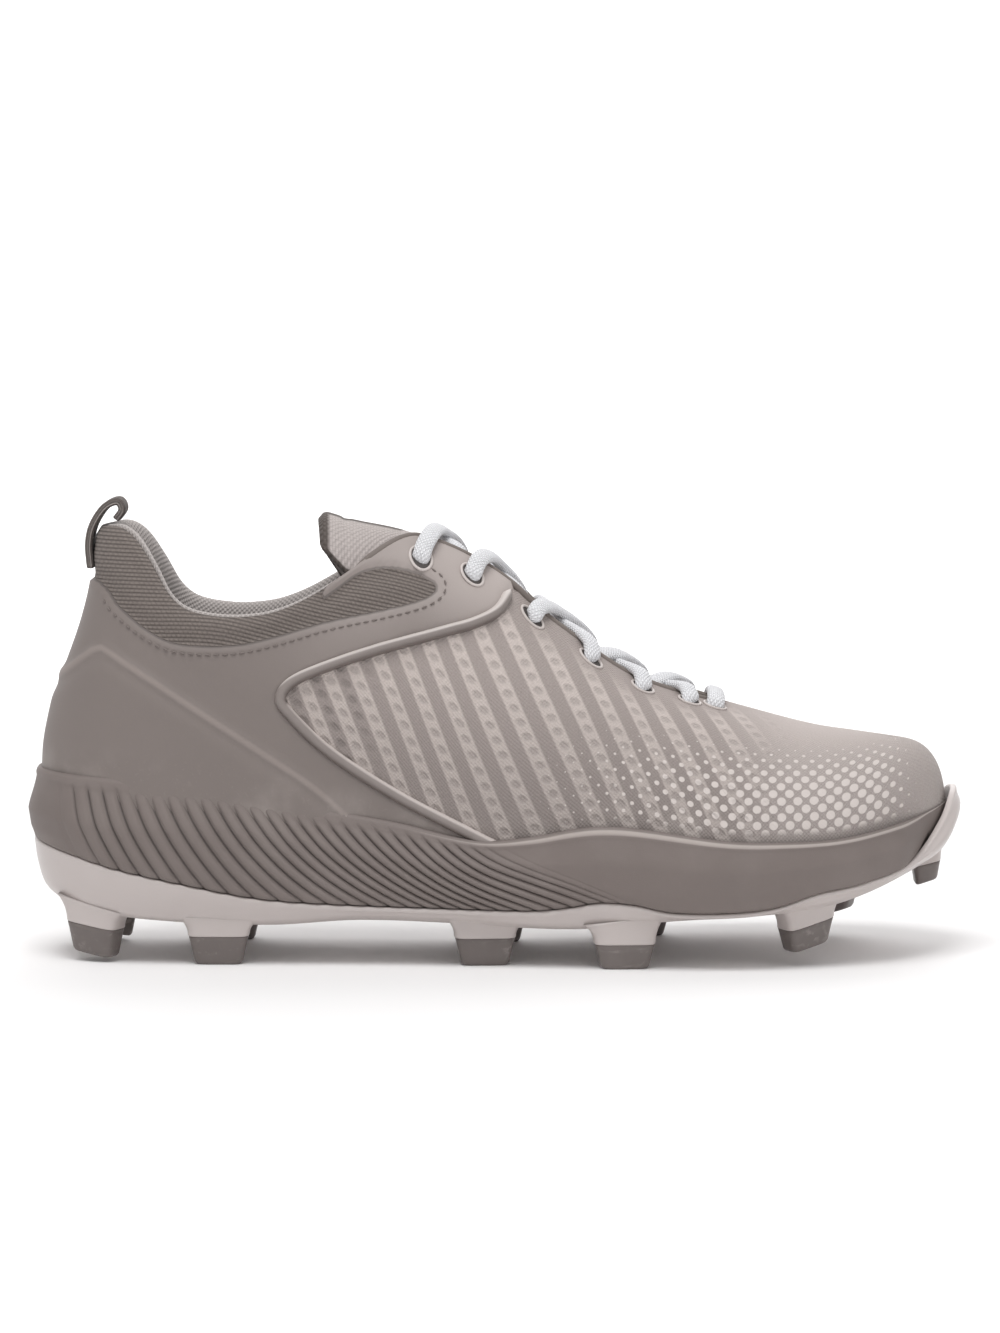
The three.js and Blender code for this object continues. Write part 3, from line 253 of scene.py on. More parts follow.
EYELETS = Table(
    ("along", "ahead", "behind"),
    (
        (0.42, 1, 0), (0.473, 1, 0), (0.538, 1, 0), (0.6, 0, 1), (0.655, 0, 1), (0.705, 0, 1),
    ),
)
LOOP_LINE = Table(
    ("along", "up"),
    (
        (0.0695, 0.82), (0.0675, 0.92), (0.0715, 1.0), (0.084, 1.075), (0.098, 1.1),
        (0.103, 1.066), (0.0955, 1.022),
    ),
)
# Soft troughs of the saddle and the vamp: middle in side view, direction, half length and width,
# and depth in millimetres.
FOLDS = Table(
    ("along", "up", "angle", "long", "wide", "depth"),
    (
        (0.19, 0.36, -32.0, 24.0, 6.0, 0.5), (0.3, 0.62, 24.0, 18.0, 4.0, 0.35),
        (0.45, 0.72, 40.0, 12.0, 4.0, 0.3), (0.66, 0.12, 62.0, 16.0, 4.5, 0.35),
        (0.73, 0.02, 68.0, 14.0, 4.5, 0.3),
    ),
)


@dataclass(frozen=True)
class Stud:
    """Place and size of one stud. Heights are shares of the stud height."""

    name: str
    along: float
    side: float
    long: float
    wide: float
    turn: float
    top: tuple[float, float]
    end: tuple[float, float]


STUDS = (
    Stud("heel_rear_lateral", 0.077, -0.44, 17, 11, -24, (1.0, 0.8), (0.3, 0.08)),
    Stud("heel_rear_medial", 0.08, 0.43, 17, 11, 24, (1.0, 0.8), (0.3, 0.08)),
    Stud("heel_front_lateral", 0.208, -0.55, 19, 11, 0, (0.69, 0.69), (0.0, 0.0)),
    Stud("heel_front_medial", 0.212, 0.52, 19, 11, 0, (0.69, 0.69), (0.0, 0.0)),
    Stud("waist_lateral", 0.488, -0.6, 19, 10, 4, (0.67, 0.67), (0.0, 0.0)),
    Stud("waist_medial", 0.5, 0.4, 19, 10, 8, (0.67, 0.67), (0.0, 0.0)),
    Stud("ball_lateral", 0.634, -0.74, 19, 12, 4, (0.6, 0.6), (0.0, 0.0)),
    Stud("ball_medial", 0.657, 0.68, 19, 12, 10, (0.6, 0.6), (0.0, 0.0)),
    Stud("front_lateral", 0.825, -0.62, 16, 12, 24, (0.88, 1.2), (0.3, 0.62)),
    Stud("front_medial", 0.868, 0.66, 16, 12, -22, (0.95, 1.35), (0.38, 0.78)),
    Stud("toe", 0.962, 0.15, 9, 15, 0, (2.05, 2.22), (1.55, 1.78)),
)


def mix(a: Array, b: Array, share: Array) -> Array:
    """Value between a and b."""
    return a + (b - a) * share


def fade(start: float, end: float, at: Array) -> Array:
    """Smooth step from 0 at the start to 1 at the end, also for a falling pair."""
    u = np.clip((np.asarray(at, float) - start) / (end - start), 0.0, 1.0)
    return u * u * (3 - 2 * u)


def unit(vectors: Array) -> Array:
    """Vectors brought to length 1."""
    return vectors / np.maximum(np.linalg.norm(vectors, axis=-1, keepdims=True), 1e-12)


def squarer(values: Array, power: float) -> Array:
    """Signed power of values, which makes a round section boxier below 1."""
    return np.sign(values) * np.abs(values) ** power


def run_of(points: Array) -> Array:
    """Distance run along a line at each of its points."""
    steps = np.linalg.norm(np.diff(points, axis=0), axis=1)
    return np.concatenate([[0.0], np.cumsum(steps)])


def settled(path: Array, times: int) -> Array:
    """The same line, smoothed some times between its ends."""
    path = path.copy()
    for _ in range(times):
        path[1:-1] = (path[:-2] + 2 * path[1:-1] + path[2:]) / 4
    return path


def smooth_run(points: Array, per: int) -> Array:
    """Smooth line through points.

    Args:
        points: rows of coordinates.
        per: steps between neighbouring points.

    Returns:
        Rows of the finer line, both ends included.
    """
    points = np.asarray(points, float)
    padded = np.vstack([2 * points[0] - points[1], points, 2 * points[-1] - points[-2]])
    u = np.linspace(0, 1, per, endpoint=False)[:, None]
    runs = []
    for a, b, c, d in zip(padded, padded[1:], padded[2:], padded[3:]):
        runs.append(
            0.5 * (2 * b + (c - a) * u + (2 * a - 5 * b + 4 * c - d) * u**2
                   + (3 * b - a - 3 * c + d) * u**3)
        )
    return np.vstack(runs + [points[-1:]])


def even_run(points: Array, count: int) -> Array:
    """The same line with its points at even distances."""
    at = run_of(points)
    want = np.linspace(0, at[-1], count)
    return np.stack([np.interp(want, at, points[:, k]) for k in range(points.shape[1])], axis=1)


def distance_to_line(points: Array, line: Array) -> Array:
    """Distance from each point to a line of straight pieces."""
    best = np.full(len(points), np.inf)
    for a, b in zip(line, line[1:]):
        along = b - a
        share = np.clip(((points - a) @ along) / max(along @ along, 1e-9), 0, 1)
        best = np.minimum(best, np.linalg.norm(points - a - share[:, None] * along, axis=1))
    return best


def inside_outline(points: Array, outline: Array) -> Array:
    """True for each point that lies inside a closed outline."""
    found = np.zeros(len(points), bool)
    for a, b in zip(outline, np.roll(outline, -1, axis=0)):
        between = (a[1] > points[:, 1]) != (b[1] > points[:, 1])
        rise = b[1] - a[1] if abs(b[1] - a[1]) > 1e-9 else 1e-9
        crossing = a[0] + (points[:, 1] - a[1]) * (b[0] - a[0]) / rise
        found ^= between & (points[:, 0] < crossing)
    return found


@dataclass(frozen=True)
class ShoeForm:
    """The shoe's own form: outline of the sole, face of the upper and the openings in it."""

    length: float = 300.0
    half_ball: float = 52.0
    sole_height: float = 60.0
    upper_height: float = 80.0
    collar_height: float = 77.0
    stud_height: float = 13.0
    clearance: float = 0.3
    heel_inset: float = 7.0
    toe_inset: float = 5.2
    side_inset: float = 5.5
    wall: float = 2.4
    halvings: int = 26
    halvings_above: int = 20
    shift: float = field(
        default_factory=lambda: 500 * (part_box("pull_loop")[0].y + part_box("pull_loop")[1].y)
    )

    def place(self, points: Array) -> Array:
        """Millimetres from the heel to metres in the frame."""
        moved = np.array(points, float)
        moved[..., 0] -= self.length / 2
        moved[..., 1] += self.shift
        return moved / 1000

    def sole_line(self, rows: Table, x: Array) -> Array:
        """Height of a line along the sole."""
        return self.sole_height * rows.at("along", x / self.length, "height")

    def turn_of(self, x: Array) -> Array:
        """Share of the way round from the heel to the toe at a place along the shoe."""
        return np.arccos(np.clip(1 - 2 * x / self.length, -1, 1)) / np.pi

    def sweep(self, turn: Array) -> Array:
        """Share of the length that belongs to a turn."""
        return (1 - np.cos(np.pi * turn)) / 2

    def swing(self, turn: Array) -> Array:
        """How far the middle line lies towards the inner side."""
        return self.half_ball * OUTLINE.at("turn", turn, "swing")

    def half_width(self, side: Array, turn: Array) -> Array:
        """Half width of the sole on one side."""
        lateral = OUTLINE.at("turn", turn, "lateral")
        medial = OUTLINE.at("turn", turn, "medial")
        return self.half_ball * np.where(side < 0, lateral, medial)

    def outline(self, side: Array, turn: Array, outward: Array) -> Array:
        """Places on the sole's outline.

        Args:
            side: -1 for the lateral and 1 for the medial side.
            turn: way round, 0 at the heel and 1 at the toe.
            outward: distance outside the outline.

        Returns:
            Rows of x and y.
        """
        side, turn, outward = np.broadcast_arrays(side, turn, outward)

        def at(where: Array) -> Array:
            """Bare outline."""
            across = self.swing(where) + side * self.half_width(side, where)
            return np.stack([self.length * self.sweep(where), across], axis=-1)

        along = unit(at(np.minimum(turn + 0.004, 1)) - at(np.maximum(turn - 0.004, 0)))
        normal = np.stack([-along[..., 1] * side, along[..., 0] * side], axis=-1)
        normal[turn <= 0] = (-1, 0)
        normal[turn >= 1] = (1, 0)
        return at(turn) + normal * outward[..., None]

    def upper(self, side: Array, turn: Array, rise: Array) -> Array:
        """Places on the outer face of the upper.

        Args:
            side: -1 for the lateral and 1 for the medial side.
            turn: way round, 0 at the heel and 1 at the toe.
            rise: way up, 0 at the sole and 1 on the ridge.

        Returns:
            Rows of x, y and z.
        """
        side, turn, rise = np.broadcast_arrays(side, turn, rise)
        angle = np.clip(rise, 0, 1) * np.pi / 2
        full = np.where(
            side < 0, SECTIONS.at("turn", turn, "full"), SECTIONS.at("turn", turn, "inner")
        )
        up = np.maximum(np.sin(angle), 0) ** (2 / full)
        out = np.maximum(np.cos(angle), 0) ** (2 / full)
        inset = self.side_inset * np.maximum(np.sin(np.pi * turn), 0) ** 0.6
        half = np.maximum(self.half_width(side, turn) - inset, 0)
        foot_x = mix(self.heel_inset, self.length - self.toe_inset, self.sweep(turn))
        foot_z = self.sole_line(FOOTBED, foot_x) + self.clearance
        ridge_x = self.length * SECTIONS.at("turn", turn, "along")
        ridge_z = self.sole_height + self.upper_height * SECTIONS.at("turn", turn, "up")
        lean = mix(up, 1 - out, fade(0.6, 0.85, turn))
        heel = np.maximum(1 - (turn / 0.3) ** 2, 0) ** 2
        back = self.length * HEEL_CURVE.at("rise", up, "back") * heel
        bulge = self.half_ball * SECTIONS.at("turn", turn, "bulge") * 4 * up * (1 - up)
        narrow = 1 - SECTIONS.at("turn", turn, "taper") * up
        across = self.swing(turn) + side * (half * out * narrow + bulge * out)
        return np.stack(
            [mix(foot_x, ridge_x, lean) - back, across, mix(foot_z, ridge_z, up)], axis=-1
        )

    def upper_normal(self, side: Array, turn: Array, rise: Array) -> Array:
        """Outward direction of the upper at places given as for upper."""
        side, turn, rise = np.broadcast_arrays(side, turn, rise)
        step = 0.006  # of the way, to both sides
        t, r = np.clip(turn, step, 1 - step), np.clip(rise, step, 1 - step)
        along = self.upper(side, t + step, r) - self.upper(side, t - step, r)
        upward = self.upper(side, t, r + step) - self.upper(side, t, r - step)
        normal = np.cross(along, upward) * -side[..., None]
        normal[(turn <= 0) | (turn >= 1) | (rise >= ON_RIDGE), 1] = 0
        return unit(normal)

    def off_upper(self, side: Array, turn: Array, rise: Array, outward: Array) -> Array:
        """Places at a distance outside the upper."""
        normal = self.upper_normal(side, turn, rise)
        return self.upper(side, turn, rise) + normal * np.asarray(outward, float)[..., None]

    def rise_at_height(self, side: Array, turn: Array, z: Array) -> Array:
        """Way up the upper at which it reaches a height."""
        low, high = np.zeros(np.shape(turn)), np.ones(np.shape(turn))
        for _ in range(self.halvings):
            middle = (low + high) / 2
            under = self.upper(side, turn, middle)[..., 2] < z
            low, high = np.where(under, middle, low), np.where(under, high, middle)
        return (low + high) / 2

    def on_side(self, side: float, x: Array, z: Array) -> tuple[Array, Array]:
        """Finds the place on the upper that a side view shows.

        Args:
            side: -1 for the lateral and 1 for the medial side.
            x: distances from the heel.
            z: heights.

        Returns:
            turn and rise of each place.
        """
        low, high = np.zeros(np.shape(x)), np.ones(np.shape(x))
        for _ in range(self.halvings):
            middle = (low + high) / 2
            rise = self.rise_at_height(side, middle, z)
            behind = self.upper(side, middle, rise)[..., 0] < x
            low, high = np.where(behind, middle, low), np.where(behind, high, middle)
        turn = (low + high) / 2
        return turn, self.rise_at_height(side, turn, z)

    def from_above(self, x: Array, y: Array, outward: Array) -> Array:
        """Places over the upper that a view from above shows.

        Args:
            x: distances from the heel.
            y: distances to the inner side.
            outward: distances outside the upper.

        Returns:
            Rows of x, y and z.
        """
        x, y, outward = np.broadcast_arrays(x, y, outward)

        def solve(turn: Array) -> tuple[Array, Array]:
            """Side and rise at the wanted distance from the middle line."""
            away = y - self.swing(turn)
            side = np.where(away < 0, -1.0, 1.0)
            low, high = np.full(x.shape, 0.12), np.ones(x.shape)
            for _ in range(self.halvings_above):
                middle = (low + high) / 2
                wide = np.abs(self.upper(side, turn, middle)[..., 1] - self.swing(turn))
                under = wide > np.abs(away)
                low, high = np.where(under, middle, low), np.where(under, high, middle)
            return side, (low + high) / 2

        start, end = np.full(x.shape, 0.1), np.full(x.shape, 0.95)
        for _ in range(self.halvings_above):
            turn = (start + end) / 2
            side, rise = solve(turn)
            behind = self.upper(side, turn, rise)[..., 0] < x
            start, end = np.where(behind, turn, start), np.where(behind, end, turn)
        turn = (start + end) / 2
        side, rise = solve(turn)
        return self.off_upper(side, turn, np.minimum(rise, BELOW_RIDGE), outward)

    def cut_away(self, points: Array) -> Array:
        """How far places lie inside the collar or the throat opening, negative outside them."""
        x, y, z = points[..., 0], points[..., 1], points[..., 2]
        along = x / self.length
        edge = self.sole_height + self.collar_height * COLLAR_EDGE.at("along", along, "up")
        collar = np.where(along > COLLAR_FRONT, NO_OPENING, z - edge)
        half = self.half_ball * THROAT.at("along", along, "half")
        slot = half - np.abs(y - self.swing(self.turn_of(x)))
        out = (along < THROAT_BACK) | (along > THROAT_FRONT)
        return np.maximum(collar, np.where(out, NO_OPENING, slot))

    def top_rise(self, side: float, turn: Array) -> Array:
        """Way up at which each column of the upper ends, at an opening or on the ridge."""
        rises = np.linspace(0.3, 1, 480)
        depth = self.cut_away(self.upper(side, turn[:, None], rises[None, :]))
        top = np.ones(len(turn))
        for k, row in enumerate(depth):
            hits = np.nonzero(row > 0)[0]
            if len(hits):
                j = max(hits[0], 1)
                share = np.clip(-row[j - 1] / max(row[j] - row[j - 1], 1e-9), 0, 1)
                share = share if row[j - 1] > LEAST_DEPTH else 1
                top[k] = rises[j - 1] + (rises[j] - rises[j - 1]) * share
        for _ in range(2):
            near = np.convolve(np.pad(top, 1, mode="edge"), (0.25, 0.5, 0.25), mode="valid")
            top = np.where(top < 1, np.minimum(near, 1), top)
        return top

    def side_view(self, rows: Table, base: float | None = None) -> Array:
        """Side-view rows as x and z."""
        tall = self.upper_height if base is None else base
        return np.stack(
            [rows.column("along") * self.length, self.sole_height + rows.column("up") * tall],
            axis=1,
        )


SHOE = ShoeForm()


def srgb(red: int, green: int, blue: int) -> tuple[float, float, float, float]:
    """Colour of a screen value from 0 to 255 as the shader takes it."""
    linear = [
        c / 12.92 if c <= 0.04045 else ((c + 0.055) / 1.055) ** 2.4
        for c in (red / 255, green / 255, blue / 255)
    ]
    return (*linear, 1.0)


@dataclass
class NodeDesk:
    """Adds nodes to one tree with short calls."""

    tree: bpy.types.NodeTree

    def node(self, kind: str, inputs: dict | None = None, **settings: object) -> bpy.types.Node:
        """Adds a node.

        Args:
            kind: type name of the node.
            inputs: values or sockets for its inputs, by name or number.
            **settings: properties of the node.

        Returns:
            The new node.
        """
        made = self.tree.nodes.new(kind)
        for name, value in settings.items():
            setattr(made, name, value)
        for key, value in (inputs or {}).items():
            if isinstance(value, Socket):
                self.tree.links.new(value, made.inputs[key])
            else:
                made.inputs[key].default_value = value
        return made

    def math(self, operation: str, *values: object, clamp: bool = False) -> Socket:
        """Result of a Math node."""
        inputs = dict(enumerate(values))
        return self.node("ShaderNodeMath", inputs, operation=operation, use_clamp=clamp).outputs[0]

    def step(self, value: object, start: float, end: float) -> Socket:
        """Smooth step of a value from 0 at the start to 1 at the end."""
        made = self.node(
            "ShaderNodeMapRange",
            {"Value": value, "From Min": start, "From Max": end},
            interpolation_type="SMOOTHSTEP",
        )
        return made.outputs["Result"]

    def blend(self, share: object, first: object, second: object) -> Socket:
        """Colour between two colours."""
        inputs = {0: share, 6: first, 7: second}
        made = self.node("ShaderNodeMix", inputs, data_type="RGBA", clamp_factor=True)
        return made.outputs[2]

    def shade(self, colour: object, factor: object) -> Socket:
        """Colour made darker or lighter by a factor."""
        plain = colour if isinstance(colour, Socket) else colour[:3]
        made = self.node("ShaderNodeVectorMath", {0: plain, "Scale": factor}, operation="SCALE")
        return made.outputs[0]

    def pick(self, share: object, low: object, high: object) -> Socket:
        """Number between two numbers."""
        made = self.node("ShaderNodeMix", {0: share, 2: low, 3: high}, data_type="FLOAT")
        return made.outputs[0]

    def ripple(self, value: object, rate: float) -> Socket:
        """Rounded ridges from 0 to 1 over a value."""
        return self.math("ABSOLUTE", self.math("SINE", self.math("MULTIPLY", value, rate)))

    def attribute(self, name: str) -> Socket:
        """Value of a number that the mesh carries."""
        return self.node("ShaderNodeAttribute", attribute_name=name).outputs["Fac"]

    def noise(self, vector: object, scale: object, detail: float = 2.0) -> Socket:
        """Soft noise from 0 to 1."""
        made = self.node("ShaderNodeTexNoise", {"Vector": vector, "Scale": scale, "Detail": detail})
        return made.outputs["Fac"]

    def object_place(self) -> Socket:
        """Place on the shoe in metres."""
        return self.node("ShaderNodeTexCoord").outputs["Object"]

    def flat_map(self) -> Socket:
        """The piece's own map, in millimetres along and across."""
        return self.node("ShaderNodeUVMap", uv_map="UVMap").outputs["UV"]

    def split(self, vector: object) -> tuple[Socket, ...]:
        """X, Y and Z of a vector."""
        return tuple(self.node("ShaderNodeSeparateXYZ", {0: vector}).outputs)

    def join(self, x: object, y: object) -> Socket:
        """Flat vector of two values."""
        return self.node("ShaderNodeCombineXYZ", {0: x, 1: y}).outputs[0]

    def group(self, name: str, inputs: dict) -> bpy.types.Node:
        """Places a shared node group with its own values."""
        return self.node("ShaderNodeGroup", inputs, node_tree=bpy.data.node_groups[name])


@dataclass
class SharedGroups:
    """Shader node groups that several finishes use."""

    def begin(self, name: str, inputs: dict[str, str], outputs: dict[str, str]) -> NodeDesk:
        """Starts a group.

        Args:
            name: name of the group.
            inputs: socket type of each input.
            outputs: socket type of each output.

        Returns:
            A desk on the group's tree.
        """
        tree = bpy.data.node_groups.new(name, "ShaderNodeTree")
        for side, sockets in (("INPUT", inputs), ("OUTPUT", outputs)):
            for label, kind in sockets.items():
                tree.interface.new_socket(label, in_out=side, socket_type=f"NodeSocket{kind}")
        return NodeDesk(tree)

    def end(self, desk: NodeDesk, results: dict[str, Socket]) -> None:
        """Connects a group's results."""
        desk.node("NodeGroupOutput", results)

    def weave(self) -> None:
        """Plain weave: threads that pass over and under each other."""
        desk = self.begin("weave", {"Vector": "Vector", "Pitch": "Float"},
                          {"Height": "Float", "Gap": "Float"})
        given = desk.node("NodeGroupInput").outputs
        u, v, _ = desk.split(given["Vector"])
        turn = desk.math("DIVIDE", math.pi, given["Pitch"])
        a = desk.math("SINE", desk.math("MULTIPLY", u, turn))
        b = desk.math("SINE", desk.math("MULTIPLY", v, turn))
        over = desk.math("MULTIPLY", a, b)
        height = desk.math("MULTIPLY_ADD", over, 0.5, 0.5)
        gap = desk.step(desk.math("ABSOLUTE", over), 0.25, 0.0)
        self.end(desk, {"Height": height, "Gap": gap})

    def knit(self) -> None:
        """Fine knitted rows, each row a chain of short loops."""
        desk = self.begin("knit_rows", {"Along": "Float", "Up": "Float", "Row": "Float",
                                        "Loop": "Float"}, {"Height": "Float"})
        given = desk.node("NodeGroupInput").outputs
        row = desk.math("DIVIDE", given["Up"], given["Row"])
        shift = desk.math("MULTIPLY", desk.math("FLOOR", row), 0.5)
        loop = desk.math("ADD", desk.math("DIVIDE", given["Along"], given["Loop"]), shift)
        across, chain = desk.ripple(row, math.pi), desk.ripple(loop, math.pi)
        height = desk.math("MULTIPLY", across, desk.math("MULTIPLY_ADD", chain, 0.45, 0.55))
        self.end(desk, {"Height": height})

    def grain(self) -> None:
        """Fine moulded grain with a slow change of tone."""
        desk = self.begin("grain", {"Vector": "Vector", "Scale": "Float"},
                          {"Height": "Float", "Tone": "Float"})
        given = desk.node("NodeGroupInput").outputs
        fine = desk.noise(given["Vector"], given["Scale"], 3.0)
        slow = desk.noise(given["Vector"], 28.0, 3.0)
        self.end(desk, {"Height": fine, "Tone": slow})

    def dots(self) -> None:
        """Round dots on a square grid, each cell one unit wide."""
        desk = self.begin("dots", {"U": "Float", "V": "Float", "Size": "Float",
                                   "Sharp": "Float"}, {"Mask": "Float"})
        given = desk.node("NodeGroupInput").outputs
        away = [desk.math("SUBTRACT", desk.math("FRACT", given[key]), 0.5) for key in ("U", "V")]
        squares = [desk.math("MULTIPLY", one, one) for one in away]
        reach = desk.math("SQRT", desk.math("ADD", *squares))
        inner = desk.math("SUBTRACT", given["Size"], reach)
        mask = desk.math("MULTIPLY", inner, given["Sharp"], clamp=True)
        self.end(desk, {"Mask": mask})

    def dust(self) -> None:
        """Light dust and scuffs that gather low on the shoe."""
        desk = self.begin("dust", {"Colour": "Color", "Dust": "Color", "Amount": "Float",
                                   "Place": "Vector"}, {"Colour": "Color"})
        given = desk.node("NodeGroupInput").outputs
        patch = desk.step(desk.noise(given["Place"], 60.0, 4.0), 0.42, 0.75)
        speck = desk.step(desk.noise(given["Place"], 900.0, 1.0), 0.62, 0.72)
        share = desk.math("MULTIPLY", desk.math("MULTIPLY_ADD", speck, 0.2, patch), given["Amount"],
                          clamp=True)
        self.end(desk, {"Colour": desk.blend(share, given["Colour"], given["Dust"])})

    def build(self) -> None:
        """Makes every group."""
        for make in (self.weave, self.knit, self.grain, self.dots, self.dust):
            make()


@dataclass(frozen=True)
class Finish:
    """A named material that ends in one principled shader."""

    name: str
    sheen: float = 0.0
    coat: float = 0.0
    specular: float = 0.5

    def paint(self, desk: NodeDesk) -> Look:
        """Colour, roughness, bump height and bump distance of this finish."""
        raise NotImplementedError

    def build(self) -> bpy.types.Material:
        """Makes the material.

        Returns:
            The finished node material.
        """
        made = bpy.data.materials.new(self.name)
        made.use_nodes = True
        made.node_tree.nodes.clear()
        desk = NodeDesk(made.node_tree)
        colour, roughness, height, depth = self.paint(desk)
        bump = desk.node("ShaderNodeBump", {"Height": height, "Distance": depth, "Strength": 1.0})
        shader = desk.node("ShaderNodeBsdfPrincipled", {
            "Base Color": colour, "Roughness": roughness, "Normal": bump.outputs[0],
            "Specular IOR Level": self.specular, "Sheen Weight": self.sheen,
            "Sheen Roughness": 0.5, "Coat Weight": self.coat, "Coat Roughness": 0.3,
        })
        desk.node("ShaderNodeOutputMaterial", {"Surface": shader.outputs[0]})
        return made


@dataclass(frozen=True)
class UpperFinish(Finish):
    """Banded mesh, smooth saddle and knitted collar of the upper, by the numbers on its mesh."""

    band_pitch: float = 9.6
    band_slant: float = 0.42
    dimple_pitch: float = 4.8
    thread_pitch: float = 0.62
    dot_pitch: float = 5.2
    light: tuple = srgb(192, 181, 176)
    dark: tuple = srgb(156, 146, 142)
    toe: tuple = srgb(180, 170, 166)
    film: tuple = srgb(206, 197, 193)
    saddle: tuple = srgb(126, 117, 113)
    # Painted highlight colour of the saddle near the throat, where it faces up to the light.
    saddle_highlight: tuple = srgb(176, 166, 162)
    knit: tuple = srgb(124, 115, 110)

    def vamp(self, desk: NodeDesk, along: object, girth: object, edge: object) -> tuple:
        """Mesh with slanted bands, dimples and the film dots on the toe.

        Args:
            desk: where the nodes go.
            along: distance from the heel.
            girth: distance up from the midsole.
            edge: distance below the throat.

        Returns:
            Colour and height of the mesh.
        """
        slanted = desk.math("MULTIPLY_ADD", girth, self.band_slant, along)
        phase = desk.math("DIVIDE", slanted, self.band_pitch)
        wave = desk.math("ABSOLUTE", desk.math("SUBTRACT", desk.math("FRACT", phase), 0.5))
        on_light = desk.step(wave, 0.2, 0.3)
        shown = desk.math("MULTIPLY", desk.step(along, 246.0, 226.0), desk.step(edge, 5.0, 20.0))
        band = desk.math("MULTIPLY", on_light, shown)
        holes = desk.group("dots", {
            "U": desk.math("MULTIPLY_ADD", phase, 2.0, 0.5),
            "V": desk.math("DIVIDE", girth, self.dimple_pitch), "Size": 0.36, "Sharp": 5.0,
        }).outputs[0]
        keep = desk.math("MAXIMUM", on_light, desk.step(along, 116.0, 104.0))
        holes = desk.math("MULTIPLY", desk.math("MULTIPLY", holes, keep), shown)
        flat = desk.join(along, girth)
        weave = desk.group("weave", {"Vector": flat, "Pitch": self.thread_pitch})
        ground = desk.blend(band, self.dark, self.light)
        ground = desk.blend(desk.step(along, 214.0, 248.0), ground, self.toe)
        tone = desk.math("MULTIPLY_ADD", desk.noise(flat, 1.6, 3.0), 0.34, 0.83)
        # Painted shade: the mesh grows darker towards the sole and lighter higher up.
        colour = desk.shade(desk.shade(ground, tone), self.shade_towards_sole(desk, girth))
        # Painted shade: the dimples are a fifth darker than the mesh round them.
        colour = desk.shade(colour, desk.math("MULTIPLY_ADD", holes, -0.2, 1.0))
        film = self.film_dots(desk, along, girth)
        colour = desk.blend(film, colour, self.film)
        bare = desk.math("MULTIPLY_ADD", film, -0.7, 1.0)
        fine = desk.math("MULTIPLY", weave.outputs["Height"], bare)
        raised = desk.math("MULTIPLY_ADD", band, 0.6, desk.math("MULTIPLY", film, 0.5))
        height = desk.math("ADD", desk.math("MULTIPLY", fine, 0.55), raised)
        height = desk.math("SUBTRACT", height, desk.math("MULTIPLY", holes, 1.5))
        return colour, height

    def shade_towards_sole(self, desk: NodeDesk, girth: object) -> Socket:
        """Painted shade from light above: the mesh colour darkens towards the sole and lightens
        higher up.
        """
        return desk.math("MULTIPLY_ADD", desk.step(girth, 0.0, 60.0), 0.3, 0.76)

    def film_dots(self, desk: NodeDesk, along: object, girth: object) -> Socket:
        """Film on the forefoot that breaks up into dots towards the waist."""
        turned = [desk.math("DIVIDE", desk.math(sign, along, girth), self.dot_pitch)
                  for sign in ("ADD", "SUBTRACT")]
        forward = desk.step(along, 138.0, 250.0)
        low = desk.step(girth, 44.0, 16.0)
        size = desk.math("MULTIPLY", desk.math("MULTIPLY", forward, 0.43), low)
        toe_end = desk.step(along, 288.0, 268.0)
        size = desk.math("MULTIPLY", size, toe_end)
        dots = desk.group("dots", {"U": turned[0], "V": turned[1], "Size": size,
                                   "Sharp": 14.0}).outputs[0]
        return desk.math("MULTIPLY", dots, desk.step(girth, 1.5, 4.0))

    def paint(self, desk: NodeDesk) -> Look:
        """Blends the three zones along their seams."""
        along, girth, edge = (desk.attribute(n) for n in ("along", "girth", "edge"))
        knit_side, rim_side = desk.attribute("knit"), desk.attribute("rim")
        place = desk.object_place()
        in_knit = desk.step(knit_side, -0.15, 0.15)
        in_saddle = desk.step(rim_side, -0.2, 0.2)
        vamp_colour, vamp_height = self.vamp(desk, along, girth, edge)
        grain = desk.group("grain", {"Vector": place, "Scale": 2600.0})
        # Painted highlight: the saddle turns lighter towards the front and near the throat.
        forward = desk.math("MULTIPLY", desk.step(along, 70.0, 150.0), desk.step(edge, 46.0, 4.0))
        saddle = desk.blend(forward, self.saddle, self.saddle_highlight)
        saddle = desk.shade(saddle, desk.math("MULTIPLY_ADD", grain.outputs["Tone"], 0.12, 0.94))
        # Painted shadow: a dark line along the edge of the knitted collar where it meets the saddle.
        seam = desk.step(desk.math("ABSOLUTE", desk.math("ADD", knit_side, 0.25)), 0.55, 0.1)
        saddle = desk.shade(saddle, desk.math("MULTIPLY_ADD", seam, -0.35, 1.0))
        # Painted highlight along the ridge at the heel counter's edge.
        welt = desk.step(desk.math("ABSOLUTE", desk.attribute("counter")), 1.5, 0.2)
        saddle = desk.shade(saddle, desk.math("MULTIPLY_ADD", welt, 0.32, 1.0))
        rows = desk.group("knit_rows", {"Along": along, "Up": girth, "Row": 1.25, "Loop": 1.5})
